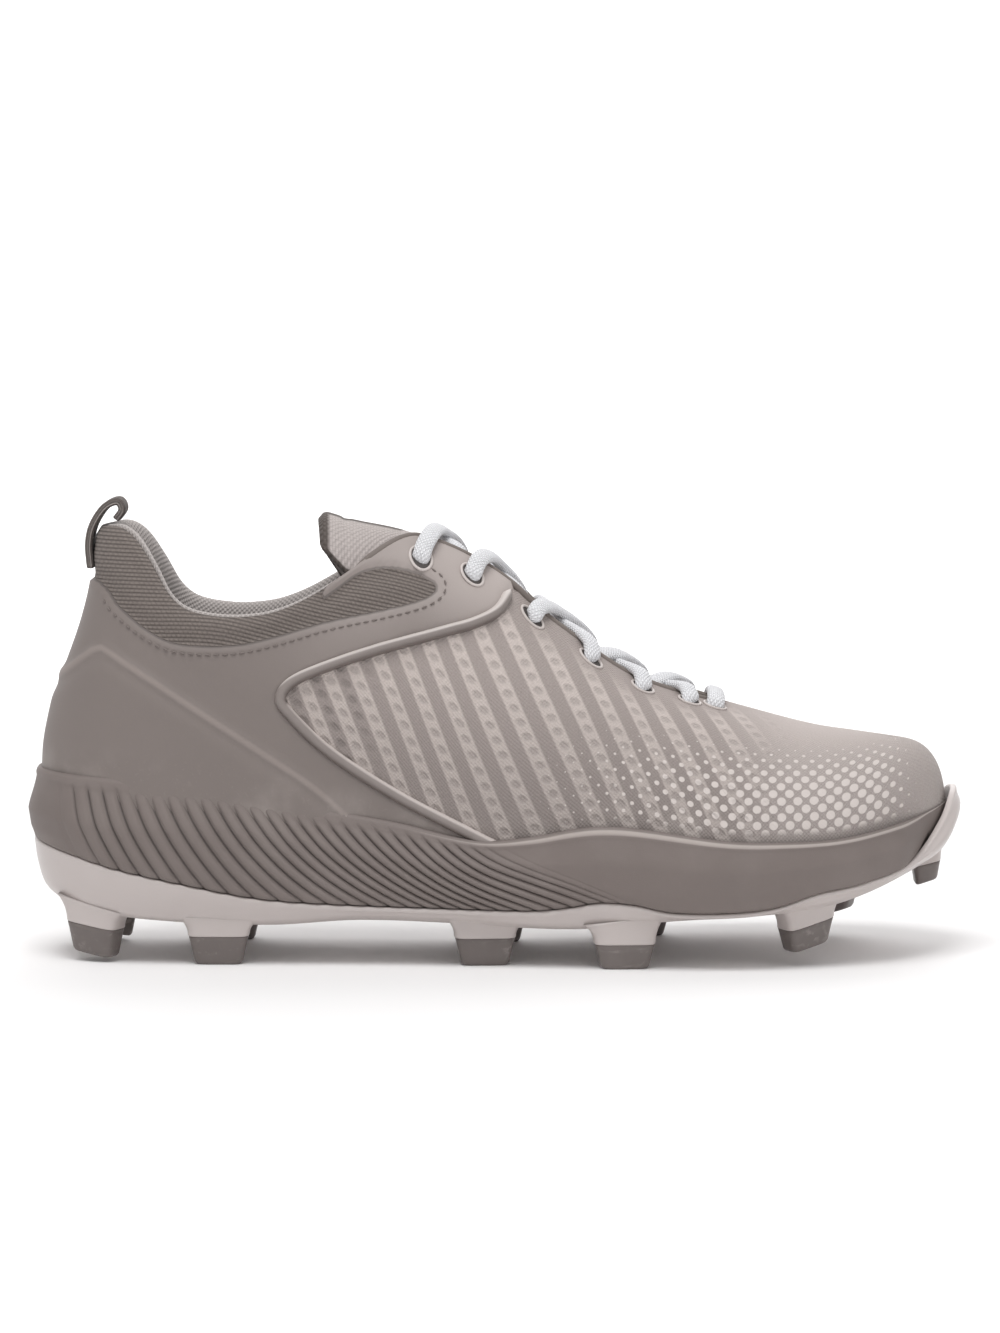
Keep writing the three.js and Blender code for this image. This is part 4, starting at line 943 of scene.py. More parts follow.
        # Painted shade between the knitted rows, lighter on their crests.
        knit_row_shade = desk.math("MULTIPLY_ADD", rows.outputs[0], 0.5, 0.66)
        speck = desk.math("MULTIPLY_ADD", desk.noise(desk.join(along, girth), 1.1), 0.4, 0.8)
        knit = desk.shade(desk.shade(self.knit, knit_row_shade), speck)
        colour = desk.blend(in_saddle, vamp_colour, saddle)
        colour = desk.blend(in_knit, colour, knit)
        dusted = desk.group("dust", {"Colour": colour, "Dust": srgb(206, 198, 192),
                                     "Amount": desk.math("MULTIPLY", desk.step(girth, 12.0, 0.0),
                                                         0.16), "Place": place})
        smooth = desk.math("MULTIPLY", grain.outputs["Height"], 0.12)
        height = desk.pick(in_saddle, vamp_height, smooth)
        height = desk.pick(in_knit, height, desk.math("MULTIPLY", rows.outputs[0], 1.5))
        rough = desk.pick(in_knit, desk.pick(in_saddle, 0.86, 0.62), 0.92)
        return dusted.outputs[0], rough, height, 0.0003


@dataclass(frozen=True)
class ClothFinish(Finish):
    """Woven cloth on a piece's own map, with an edge of another tone."""

    colour: tuple = srgb(180, 172, 169)
    edge_colour: tuple = srgb(92, 84, 80)
    edge_at: float = -1.0
    pitch: float = 0.8
    tone: float = 0.25
    depth: float = 0.0003

    def paint(self, desk: NodeDesk) -> Look:
        """Weave, heather and the bound edge."""
        flat = desk.flat_map()
        weave = desk.group("weave", {"Vector": flat, "Pitch": self.pitch})
        heather = desk.math("MULTIPLY_ADD", desk.noise(flat, 0.9, 3.0), self.tone, 1 - self.tone / 2)
        # Painted shade in the gaps between the threads.
        threads = desk.math("MULTIPLY_ADD", weave.outputs["Gap"], -0.22, 1.0)
        colour: object = self.colour
        if self.edge_at >= 0:
            colour = desk.blend(desk.step(desk.attribute("edge"), self.edge_at, self.edge_at - 0.4),
                                self.colour, self.edge_colour)
        colour = desk.shade(desk.shade(colour, heather), threads)
        dusted = desk.group("dust", {"Colour": colour, "Dust": srgb(214, 207, 202), "Amount": 0.06,
                                     "Place": desk.object_place()})
        return dusted.outputs[0], 0.88, weave.outputs["Height"], self.depth


@dataclass(frozen=True)
class LaceFinish(Finish):
    """Braided white lace on its own map."""

    colour: tuple = srgb(240, 240, 243)

    def paint(self, desk: NodeDesk) -> Look:
        """Braid of two slanted thread runs."""
        u, v, _ = desk.split(desk.flat_map())
        runs = [desk.ripple(desk.math("MULTIPLY_ADD", v, slant, u), 2.6) for slant in (0.9, -0.9)]
        braid = desk.math("MULTIPLY", *runs)
        # Painted shade in the grooves of the braid, lighter on its raised threads.
        shade = desk.math("MULTIPLY_ADD", braid, 0.2, 0.84)
        soft = desk.math("MULTIPLY_ADD", desk.noise(desk.object_place(), 700.0), 0.1, 0.95)
        return desk.shade(desk.shade(self.colour, shade), soft), 0.8, braid, 0.00035


@dataclass(frozen=True)
class MouldedFinish(Finish):
    """Moulded foam or plastic with fine grain, painted shade in grooves, painted highlights on
    crests and lips, and dust.
    """

    colour: tuple = srgb(130, 121, 117)
    # Painted highlight colour (crest) and painted shade colour (groove), with their strengths.
    crest: tuple = srgb(160, 151, 147)
    groove: tuple = srgb(84, 77, 73)
    shade_share: float = 0.0
    highlight_share: float = 0.0
    rough: float = 0.6
    scale: float = 3200.0
    dust: float = 0.1
    depth: float = 0.00008
    scuff: float = 0.0
    # Painted highlight colour of the lip.
    lip: tuple | None = None

    def paint(self, desk: NodeDesk) -> Look:
        """Painted shade and highlight from the groove number of the mesh, and tone from the grain.
        """
        place = desk.object_place()
        grain = desk.group("grain", {"Vector": place, "Scale": self.scale})
        colour: object = self.colour
        if self.shade_share or self.highlight_share:
            # Painted shade where the groove number is high, painted highlight where it is low and
            # lip highlight below zero; meshes without the number, such as the eyelet rims, take the
            # full highlight.
            groove = desk.attribute("groove")
            deep = desk.math("MULTIPLY", desk.step(groove, 0.45, 1.0), self.shade_share)
            high = desk.math("MULTIPLY", desk.step(groove, 0.25, 0.0), self.highlight_share)
            colour = desk.blend(high, desk.blend(deep, colour, self.groove), self.crest)
            if self.lip:
                colour = desk.blend(desk.step(groove, -0.2, -0.9), colour, self.lip)
        colour = desk.shade(colour, desk.math("MULTIPLY_ADD", grain.outputs["Tone"], 0.16, 0.92))
        _, _, z = desk.split(place)
        low = desk.math("MULTIPLY", desk.step(z, 0.03, 0.0), self.scuff)
        scratches = desk.node("ShaderNodeTexNoise", {
            "Vector": desk.node("ShaderNodeMapping", {"Vector": place, "Scale": (90, 900, 400)})
            .outputs[0], "Scale": 1.0, "Detail": 4.0}).outputs["Fac"]
        worn = desk.math("MULTIPLY", desk.step(scratches, 0.5, 0.7), low)
        amount = desk.math("ADD", worn, self.dust)
        dusted = desk.group("dust", {"Colour": colour, "Dust": srgb(205, 198, 193),
                                     "Amount": amount, "Place": place})
        rough = desk.math("MULTIPLY_ADD", grain.outputs["Tone"], 0.16, self.rough - 0.08)
        return dusted.outputs[0], rough, grain.outputs["Height"], self.depth


@dataclass(frozen=True)
class WebbingFinish(Finish):
    """Narrow woven tape with ribs across it and a light middle slit."""

    colour: tuple = srgb(98, 90, 86)
    light: tuple = srgb(150, 142, 138)

    def paint(self, desk: NodeDesk) -> Look:
        """Ribs along the tape, with the slit of its edges a tone lighter."""
        u, v, _ = desk.split(desk.flat_map())
        ribs, twill = desk.ripple(v, 3.4), desk.ripple(desk.math("ADD", u, v), 2.4)
        height = desk.math("MULTIPLY", ribs, desk.math("MULTIPLY_ADD", twill, 0.4, 0.6))
        slit = desk.step(desk.attribute("edge"), 0.3, 0.5)
        colour = desk.blend(slit, self.colour, self.light)
        # Painted shade between the ribs, lighter on their crests.
        tone = desk.math("MULTIPLY_ADD", height, 0.35, 0.75)
        return desk.shade(colour, tone), 0.85, height, 0.0003


@dataclass(frozen=True)
class FloorFinish(Finish):
    """Plain pale floor."""

    def paint(self, desk: NodeDesk) -> Look:
        """Very slight change of tone."""
        tone = desk.math("MULTIPLY_ADD", desk.noise(desk.object_place(), 3.0), 0.01, 0.99)
        return desk.shade(srgb(247, 246, 246), tone), 0.75, 0.0, 0.001


@dataclass
class Wardrobe:
    """All finishes of the shoe, built once."""

    made: dict[str, bpy.types.Material] = field(default_factory=dict)

    def build(self) -> None:
        """Makes the materials by name."""
        finishes = (
            UpperFinish("upper_zones", sheen=0.06, specular=0.35),
            ClothFinish("lining_cloth", sheen=0.15, specular=0.3, colour=srgb(186, 179, 176)),
            ClothFinish("tongue_cloth", sheen=0.1, specular=0.3, colour=srgb(186, 177, 174),
                        edge_at=0.9, pitch=0.9, depth=0.0004),
            ClothFinish("insole_cloth", sheen=0.1, specular=0.25, colour=srgb(150, 143, 140)),
            # Painted highlight on the top of the saddle rims and painted shade on their undersides.
            MouldedFinish("rim_film", colour=srgb(134, 125, 121), crest=srgb(204, 195, 191),
                          groove=srgb(104, 94, 90), shade_share=0.8, highlight_share=0.9,
                          rough=0.42, dust=0.0, coat=0.1),
            MouldedFinish("edge_binding", colour=srgb(118, 109, 104), rough=0.75, dust=0.0),
            # Painted shade in the rib grooves, painted highlights on the rib crests and on the lip
            # under the top edge.
            MouldedFinish("midsole_foam", colour=srgb(119, 109, 105), crest=srgb(129, 119, 115),
                          groove=srgb(70, 63, 60), shade_share=0.75, highlight_share=0.35,
                          rough=0.62, dust=0.04, scale=4200.0, lip=srgb(178, 168, 163)),
            MouldedFinish("plate_plastic", colour=srgb(194, 185, 182), rough=0.36, dust=0.05,
                          scale=1500.0, depth=0.00004, coat=0.12, scuff=0.25),
            MouldedFinish("stud_plastic", colour=srgb(108, 100, 97), rough=0.42, dust=0.05,
                          scale=1500.0, depth=0.00004, scuff=0.45),
            # Painted shade inside the eyelet holes.
            MouldedFinish("eyelet_dark", colour=srgb(70, 64, 62), rough=0.6, dust=0.0),
            MouldedFinish("thread", colour=srgb(122, 113, 109), rough=0.8, dust=0.0,
                          scale=5000.0),
            LaceFinish("lace_braid", sheen=0.1, specular=0.3),
            WebbingFinish("heel_webbing", sheen=0.08, specular=0.3),
            FloorFinish("floor_plain", specular=0.2),
        )
        for finish in finishes:
            self.made[finish.name] = finish.build()

    def __getitem__(self, name: str) -> bpy.types.Material:
        """Material of a name."""
        return self.made[name]


@dataclass
class Bench:
    """Holds one mesh while its forms are laid, and turns it into a shown piece."""

    form: bmesh.types.BMesh = field(default_factory=bmesh.new)

    def lay(
        self,
        places: Array,
        heart: Array | None = None,
        numbers: dict[str, Array] | None = None,
        flat: tuple[Array, Array] | None = None,
        material: int = 0,
        weld: float = 0.02,
    ) -> None:
        """Lays a grid over rows of places.

        Args:
            places: rows by columns by x, y and z, in millimetres from the heel.
            heart: places that the faces look away from, the middle of the grid if not given.
            numbers: values that the mesh carries, by name, one for each place.
            flat: map of the piece, along and across in millimetres.
            material: number of the material slot.
            weld: distance within which corners are made one.
        """
        form = self.form
        rows, columns = places.shape[:2]
        layers = {n: self.layer(n) for n in (numbers or {})}
        sheet = form.loops.layers.uv.get("UVMap") or form.loops.layers.uv.new("UVMap")
        made = bmesh.ops.create_grid(
            form, x_segments=rows - 1, y_segments=columns - 1, size=1.0
        )["verts"]
        seen = np.array([vertex.co[:2] for vertex in made])
        low, high = seen.min(axis=0), seen.max(axis=0)
        cell = np.rint((seen - low) / (high - low) * (rows - 1, columns - 1)).astype(int)
        metres = SHOE.place(places)[cell[:, 0], cell[:, 1]].tolist()
        for vertex, place in zip(made, metres):
            vertex.co = place
        for name, layer in layers.items():
            values = np.broadcast_to(numbers[name], (rows, columns))
            for vertex, value in zip(made, values[cell[:, 0], cell[:, 1]].tolist()):
                vertex[layer] = value
        for number, vertex in enumerate(made):
            vertex.index = number
        faces = list(dict.fromkeys(face for vertex in made for face in vertex.link_faces))
        spread = None
        if flat is not None:
            spread = np.stack([np.broadcast_to(one, (rows, columns)) for one in flat], axis=-1)
            spread = spread[cell[:, 0], cell[:, 1]].tolist()
        for face in faces:
            face.smooth = True
            face.material_index = material
            if spread is not None:
                for loop in face.loops:
                    loop[sheet].uv = spread[loop.vert.index]
        if self.looks_in(places, heart):
            bmesh.ops.reverse_faces(form, faces=faces)
        bmesh.ops.remove_doubles(form, verts=made, dist=weld / 1000)

    def layer(self, name: str) -> bmesh.types.BMLayerItem:
        """Number layer of a name, made if it isn't there."""
        floats = self.form.verts.layers.float
        return floats.get(name) or floats.new(name)

    def looks_in(self, places: Array, heart: Array | None) -> bool:
        """True if the grid's faces look towards its heart."""
        along = np.gradient(places, axis=0)
        across = np.gradient(places, axis=1)
        normal = np.cross(along, across)
        middle = places.mean(axis=(0, 1)) if heart is None else heart
        return float(((places - middle) * normal).sum()) < 0

    def sweep(
        self,
        path: Array,
        outward: Array,
        section: Array,
        size: Array | float = 1.0,
        material: int = 0,
        numbers: dict[str, Array] | None = None,
    ) -> None:
        """Draws a closed section along a path.

        Args:
            path: rows of places.
            outward: direction away from the shoe at each of them.
            section: rows of distances across and outward, first and last the same.
            size: factor on the section, one for each place or one for all.
            material: number of the material slot.
            numbers: values that the mesh carries.
        """
        along = unit(np.gradient(path, axis=0))
        across = unit(np.cross(along, outward))
        upright = np.cross(across, along)
        sizes = np.broadcast_to(size, (len(path),))[:, None, None]
        places = path[:, None, :] + sizes * (
            section[None, :, :1] * across[:, None, :] + section[None, :, 1:] * upright[:, None, :]
        )
        centre = path[:, None, :] + sizes * section[:, 1].mean() * upright[:, None, :]
        self.lay(places, heart=centre, flat=(run_of(path)[:, None], run_of(section)[None, :]),
                 material=material, numbers=numbers)

    def join_sides(self) -> None:
        """Joins the two sides of a piece where they meet."""
        bmesh.ops.remove_doubles(self.form, verts=self.form.verts[:], dist=SIDE_WELD)

    def show(
        self,
        name: str,
        materials: list[bpy.types.Material],
        nodes: tuple[str, ...] = (),
        closed: bool = True,
    ) -> bpy.types.Object:
        """Makes the piece.

        Args:
            name: name of the piece.
            materials: its material slots in order.
            nodes: solids that it stands for.
            closed: whether open ends are capped.

        Returns:
            The new object, riding on the shoe.
        """
        if closed:
            ends = [edge for edge in self.form.edges if edge.is_boundary]
            bmesh.ops.holes_fill(self.form, edges=ends, sides=0)
        holes = [edge for edge in self.form.edges if edge.is_boundary]
        LOG.info("%s: %d faces, %d open edges", name, len(self.form.faces), len(holes))
        mesh = bpy.data.meshes.new(name)
        self.form.to_mesh(mesh)
        self.form.free()
        piece = bpy.data.objects.new(name, mesh)
        bpy.context.scene.collection.objects.link(piece)
        for material in materials:
            mesh.materials.append(material)
        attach(piece, BODY)
        if nodes:
            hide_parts(*nodes)
        return piece


def oval(wide: float, tall: float, count: int = 14, power: float = 1.0) -> Array:
    """Closed oval section, boxier for a power below 1."""
    angle = np.linspace(0, 2 * np.pi, count + 1)
    return np.stack([wide * squarer(np.cos(angle), power),
                     tall * squarer(np.sin(angle), power)], axis=1)


def middle_of(grid: Array) -> Array:
    """Middle of each row of places, moved to the shoe's middle plane."""
    return grid.mean(axis=1, keepdims=True) * (1, 0, 1)


@dataclass
class Upper:
    """Outer shell of the shoe with the saddle, the heel counter and the knitted collar on it."""

    wardrobe: Wardrobe
    columns: int = 270
    levels: int = 62
    saddle_raise: float = 1.5
    counter_raise: float = 1.2
    counter_welt: float = 1.0
    knit_puff: float = 1.3

    def columns_of(self, side: float) -> dict[str, Array]:
        """Places and numbers of one side's grid before it is raised.

        Args:
            side: -1 for the lateral and 1 for the medial side.

        Returns:
            turn, rise, girth and edge for every place, and side.
        """
        turn = np.linspace(0, 1, self.columns + 1)
        top = SHOE.top_rise(side, turn)
        fine = np.linspace(0, 1, 200)
        rises = top[:, None] * fine[None, :]
        points = SHOE.upper(side, turn[:, None], rises)
        steps = np.linalg.norm(np.diff(points, axis=1), axis=-1)
        run = np.concatenate([np.zeros((len(turn), 1)), np.cumsum(steps, axis=1)], axis=1)
        bite = SHOE.sole_line(MIDSOLE_TOP, points[..., 0])
        rise = np.zeros((len(turn), self.levels + 1))
        girth, edge = np.zeros_like(rise), np.zeros_like(rise)
        for k in range(len(turn)):
            want = np.linspace(0, run[k, -1], self.levels + 1)
            rise[k] = np.interp(want, run[k], rises[k])
            start = np.interp(0, points[k, :, 2] - bite[k], run[k])
            girth[k] = want - start
            edge[k] = run[k, -1] - want
        return {"turn": turn[:, None] + 0 * rise, "rise": rise, "girth": girth, "edge": edge,
                "side": np.full(rise.shape, side)}

    def zones(self, points: Array) -> dict[str, Array]:
        """Distances to the seams in side view, positive inside each zone."""
        flat = points[..., (0, 2)].reshape(-1, 2)
        far = 3 * SHOE.upper_height + SHOE.sole_height
        knit = smooth_run(SHOE.side_view(KNIT_EDGE), 5)
        knit_area = np.vstack([knit, [(knit[-1, 0], far), (knit[0, 0], far)]])
        rim = smooth_run(SHOE.side_view(RIM_LINE), 5)
        front = 1.2 * SHOE.length
        vamp_area = np.vstack([rim, [(rim[-1, 0], -10), (front, -10), (front, far),
                                     (rim[0, 0], far)]])
        counter = smooth_run(SHOE.side_view(COUNTER_EDGE), 5)
        counter_area = np.vstack([counter, [(counter[-1, 0], -10), (counter[0, 0], -10)]])
        found = {}
        for name, line, area, sign in (("knit", knit, knit_area, 1), ("rim", rim, vamp_area, -1),
                                       ("counter", counter, counter_area, 1)):
            inner = np.where(inside_outline(flat, area), 1.0, -1.0) * sign
            found[name] = (distance_to_line(flat, line) * inner).reshape(points.shape[:-1])
        return found

    def raised(self, points: Array, zones: dict[str, Array], edge: Array) -> Array:
        """How far the layers stand off the bare upper."""
        saddle = fade(0.1, -1.3, zones["knit"]) * fade(0.0, 1.2, zones["rim"])
        knit = fade(0.0, 7.0, zones["knit"]) * fade(0.0, 3.0, edge)
        counter = fade(-0.5, 6.0, zones["counter"]) * self.counter_raise
        welt = self.counter_welt * np.exp(-((zones["counter"] / 1.3) ** 2))
        total = self.saddle_raise * saddle + self.knit_puff * knit + (counter + welt) * saddle
        for along, up, angle, long, wide, depth in FOLDS.rows:
            x = points[..., 0] - along * SHOE.length
            z = points[..., 2] - SHOE.sole_height - up * SHOE.upper_height
            turn = math.radians(angle)
            run = x * math.cos(turn) + z * math.sin(turn)
            off = -x * math.sin(turn) + z * math.cos(turn)
            total = total - depth * np.exp(-((run / long) ** 2) - (off / wide) ** 2)
        total += 0.35 * np.exp(-((zones["rim"] + 2.6) / 1.6) ** 2)
        return total * fade(1.0, 0.985, points[..., 0] / SHOE.length)

    def build(self) -> None:
        """Makes the shell, welded along the heel, the toe and the ridge."""
        bench = Bench()
        for side in (LATERAL, MEDIAL):
            grid = self.columns_of(side)
            bare = SHOE.upper(grid["side"], grid["turn"], grid["rise"])
            zones = self.zones(bare)
            closed = grid["rise"] > ON_RIDGE
            height = np.where(closed, 0.0, self.raised(bare, zones, grid["edge"]))
            normal = SHOE.upper_normal(grid["side"], grid["turn"], grid["rise"])
            places = bare + normal * height[..., None]
            places[closed, 1] = SHOE.swing(grid["turn"][closed])
            heart = bare * (1, 0, 0) + (0, 0, 55.0)
            numbers = {"along": bare[..., 0], "girth": grid["girth"], "edge": grid["edge"], **zones}
            bench.lay(places, heart=heart, numbers=numbers, weld=0.0)
        bench.join_sides()
        piece = bench.show(
            "upper_shell", [self.wardrobe["upper_zones"], self.wardrobe["lining_cloth"]],
            ("upper", "saddle", "heel_counter"), closed=False,
        )
        wall = piece.modifiers.new("wall", "SOLIDIFY")
        wall.thickness = SHOE.wall / 1000
        wall.offset = -1
        wall.use_even_offset = False
        wall.material_offset = 1
        wall.material_offset_rim = 0


@dataclass
class CollarLining:
    """Padded lining inside the collar, rolled over its edge."""

    wardrobe: Wardrobe
    columns: int = 130
    front: float = 112.0
    # Section over the edge and down the inside: depth below the edge and distance inward from
    # the face of the upper.
    section: tuple = (
        (1.0, 1.6), (-0.5, 1.7), (-1.1, 2.5), (-0.6, 3.9), (1.2, 5.2), (4.5, 6.3),
        (9.0, 6.9), (14.0, 6.2), (20.0, 4.2), (25.0, 2.9), (27.0, 2.5), (20.0, 2.3), (8.0, 2.2),
        (3.0, 1.9), (1.0, 1.6),
    )

    def side_places(self, side: float, loop: Array) -> Array:
        """Places of the lining from the heel to its front on one side.

        Args:
            side: -1 for the lateral and 1 for the medial side.
            loop: closed section, as rows of depth below the edge and distance inward.

        Returns:
            Places along the edge by places round the section.
        """
        turn = np.linspace(0, 0.46, self.columns)
        top = SHOE.top_rise(side, turn)
        x = SHOE.upper(side, turn, top)[:, 0]
        keep = x < self.front
        turn, top, x = turn[keep], top[keep], x[keep]
        shrink = mix(0.25, 1.0, fade(self.front, self.front - 14, x))
        step = 0.01
        rise_of = SHOE.upper(side, turn, top) - SHOE.upper(side, turn, top - step)
        per = step / np.maximum(np.linalg.norm(rise_of, axis=-1), 1e-6)
        shorter = np.where(loop[None, :, 0] > 0, mix(0.6, 1.0, shrink)[:, None], 1.0)
        rise = top[:, None] - loop[None, :, 0] * per[:, None] * shorter
        inward = loop[None, :, 1] * mix(0.45, 1.0, shrink)[:, None]
        return SHOE.off_upper(side, turn[:, None], rise, -inward)

    def build(self) -> None:
        """Makes the lining from the lateral front round the heel to the medial front."""
        loop = smooth_run(np.array(self.section)[:-1], 3)
        loop = np.vstack([loop, loop[:1]])
        bench = Bench()
        for side in (LATERAL, MEDIAL):
            places = self.side_places(side, loop)
            flat = (run_of(places[:, 0])[:, None], run_of(loop)[None, :])
            bench.lay(places, heart=places.mean(axis=1, keepdims=True), flat=flat,
                      numbers={"edge": NO_EDGE}, weld=0.0)
        bench.join_sides()
        piece = bench.show("collar_lining", [self.wardrobe["lining_cloth"]])


@dataclass
class ThroatBinding:
    """Rounded binding over the cut edge of the throat."""

    wardrobe: Wardrobe
    back: float = 104.0
    radius: float = 1.15

    def build(self) -> None:
        """Makes one run from the collar round the front of the throat and back."""
        runs = []
        for side in (LATERAL, MEDIAL):
            turn = np.linspace(0.36, 0.69, 150)
            top = SHOE.top_rise(side, turn)
            points = SHOE.upper(side, turn, top)
            keep = (points[:, 0] > self.back) & (top < ON_RIDGE)
            lift = np.where(points[:, 0] < RIM_LINE.rows[0][0] * SHOE.length, 0.7, -0.4)
            path = SHOE.off_upper(side, turn, np.minimum(top, BELOW_RIDGE), lift)[keep]
            runs.append((path, SHOE.upper_normal(side, turn, np.minimum(top, 0.999))[keep]))
        path = settled(np.vstack([runs[0][0], runs[1][0][::-1]]), 6)
        outward = np.vstack([runs[0][1], runs[1][1][::-1]])
        outward = unit(outward)
        size = np.minimum(np.arange(len(path)), np.arange(len(path))[::-1]) / 6
        bench = Bench()
        bench.sweep(path, outward, oval(self.radius, self.radius, 10), np.clip(size, 0.02, 1))
        bench.show("throat_binding", [self.wardrobe["edge_binding"]])


@dataclass
class SaddleRims:
    """Raised rounded seam along the front of the saddle, on both sides."""

    wardrobe: Wardrobe
    wide: float = 1.9
    tall: float = 2.9

    def build(self) -> None:
        """Makes one rim on each side, from the throat into the midsole."""
        line = even_run(smooth_run(SHOE.side_view(RIM_LINE), 8), 170)
        arc = np.linspace(0, 2 * np.pi, 19)
        height = np.where(np.sin(arc) > 0, self.tall * np.abs(np.sin(arc)) ** 0.85,
                          -0.8 * np.abs(np.sin(arc)))
        section = np.stack([self.wide * np.cos(arc), height], axis=1)
        for side, name in ((LATERAL, "lateral"), (MEDIAL, "medial")):
            turn, rise = SHOE.on_side(side, line[:, 0], line[:, 1])
            bare = SHOE.upper(side, turn, rise)
            round_way = np.linspace(0, 1, 300)
            limit = np.interp(turn, round_way, SHOE.top_rise(side, round_way))
            foot = SHOE.sole_line(MIDSOLE_TOP, bare[:, 0]) - 3.0
            keep = (rise < limit) & (bare[:, 2] > foot)
            path, outward = bare[keep], SHOE.upper_normal(side, turn, rise)[keep]
            size = np.clip(np.arange(len(path)) / 3, 0.05, 1)
            along = unit(np.gradient(path, axis=0))
            across = unit(np.cross(along, outward))
            upright = np.cross(across, along)
            # Painted highlight where the rim faces up and painted shade where it faces down, from
            # the height of each section direction.
            look = (np.cos(arc)[None, :] * across[:, 2:] + np.sin(arc)[None, :] * upright[:, 2:])
            bench = Bench()
            bench.sweep(path, outward, section, size, numbers={"groove": 0.55 - 0.75 * look})
            bench.show(f"rim_{name}", [self.wardrobe["rim_film"]],
                       (f"saddle_rim_{name}",))


@dataclass
class Stitching:
    """Rows of thread on the saddle beside the knitted collar."""

    wardrobe: Wardrobe
    away: float = 2.7
    raise_by: float = 1.62
    pitch: float = 2.6
    long: float = 0.95
    thick: float = 0.34

    def build(self) -> None:
        """Makes all stitches as one mesh."""
        bench = Bench()
        line = smooth_run(SHOE.side_view(KNIT_EDGE), 6)
        line = line[line[:, 0] > 29][: int(0.6 * len(line))]
        tangent = unit(np.gradient(line, axis=0))
        shifted = line + self.away * np.stack([tangent[:, 1], -tangent[:, 0]], axis=1)
        spots = even_run(shifted, int(run_of(shifted)[-1] / self.pitch))
        for side in (LATERAL, MEDIAL):
            turn, rise = SHOE.on_side(side, spots[:, 0], spots[:, 1])
            path = SHOE.off_upper(side, turn, rise, self.raise_by)
            normal = SHOE.upper_normal(side, turn, rise)
            along = unit(np.gradient(path, axis=0))
            for centre, out, run in zip(path, normal, along):
                ends = centre + np.linspace(-1, 1, 5)[:, None] * self.long * run
                size = np.array([0.12, 0.85, 1.0, 0.85, 0.12])
                bench.sweep(ends, np.repeat(out[None], 5, axis=0),
                            oval(self.thick, self.thick, 5), size)
        bench.show("collar_stitching", [self.wardrobe["thread"]])


@dataclass(frozen=True)
class PlateShape:
    """Section of the outsole plate at any place round the shoe."""

    wall: float = 2.6
    floor: float = 3.2

    def section(self, side: float, turn: Array) -> dict[str, Array]:
        """Distances outside the outline and heights of the plate's lines.

        Args:
            side: -1 for the lateral and 1 for the medial side.
            turn: way round.

        Returns:
            The lines by name.
        """
        toe = fade(0.93, 0.985, SHOE.sweep(turn))
        edge, middle, low = mix(-2.3, -2, toe), mix(-2.7, 0, toe), mix(-4.6, -2, toe)
        bottom = -8 + 0 * toe

        def height(rows: Table, distance: Array) -> Array:
            """Height of a line at a distance from the outline."""
            return SHOE.sole_line(rows, SHOE.outline(side, turn, distance)[..., 0])

        edge_z = height(PLATE_TOP, edge) - SHOE.clearance / 2
        low_z = np.minimum(height(PLATE_BOTTOM, low) + self.floor / 2, edge_z - 2)
        floor_z = np.minimum(height(PLATE_BOTTOM, bottom - 0.7) + self.floor, edge_z - 1.3)
        return {
            "edge": edge, "middle": middle, "low": low, "bottom": bottom, "edge_z": edge_z,
            "low_z": low_z, "middle_z": mix(low_z, edge_z, 0.5),
            "bottom_z": height(PLATE_BOTTOM, bottom), "floor_out": bottom - 0.7,
            "floor_z": floor_z, "wall_foot": middle - self.wall, "wall_top": edge - 0.85 * self.wall,
            "wall_z": np.minimum(low_z + 0.65 * self.floor, edge_z - 1),
        }


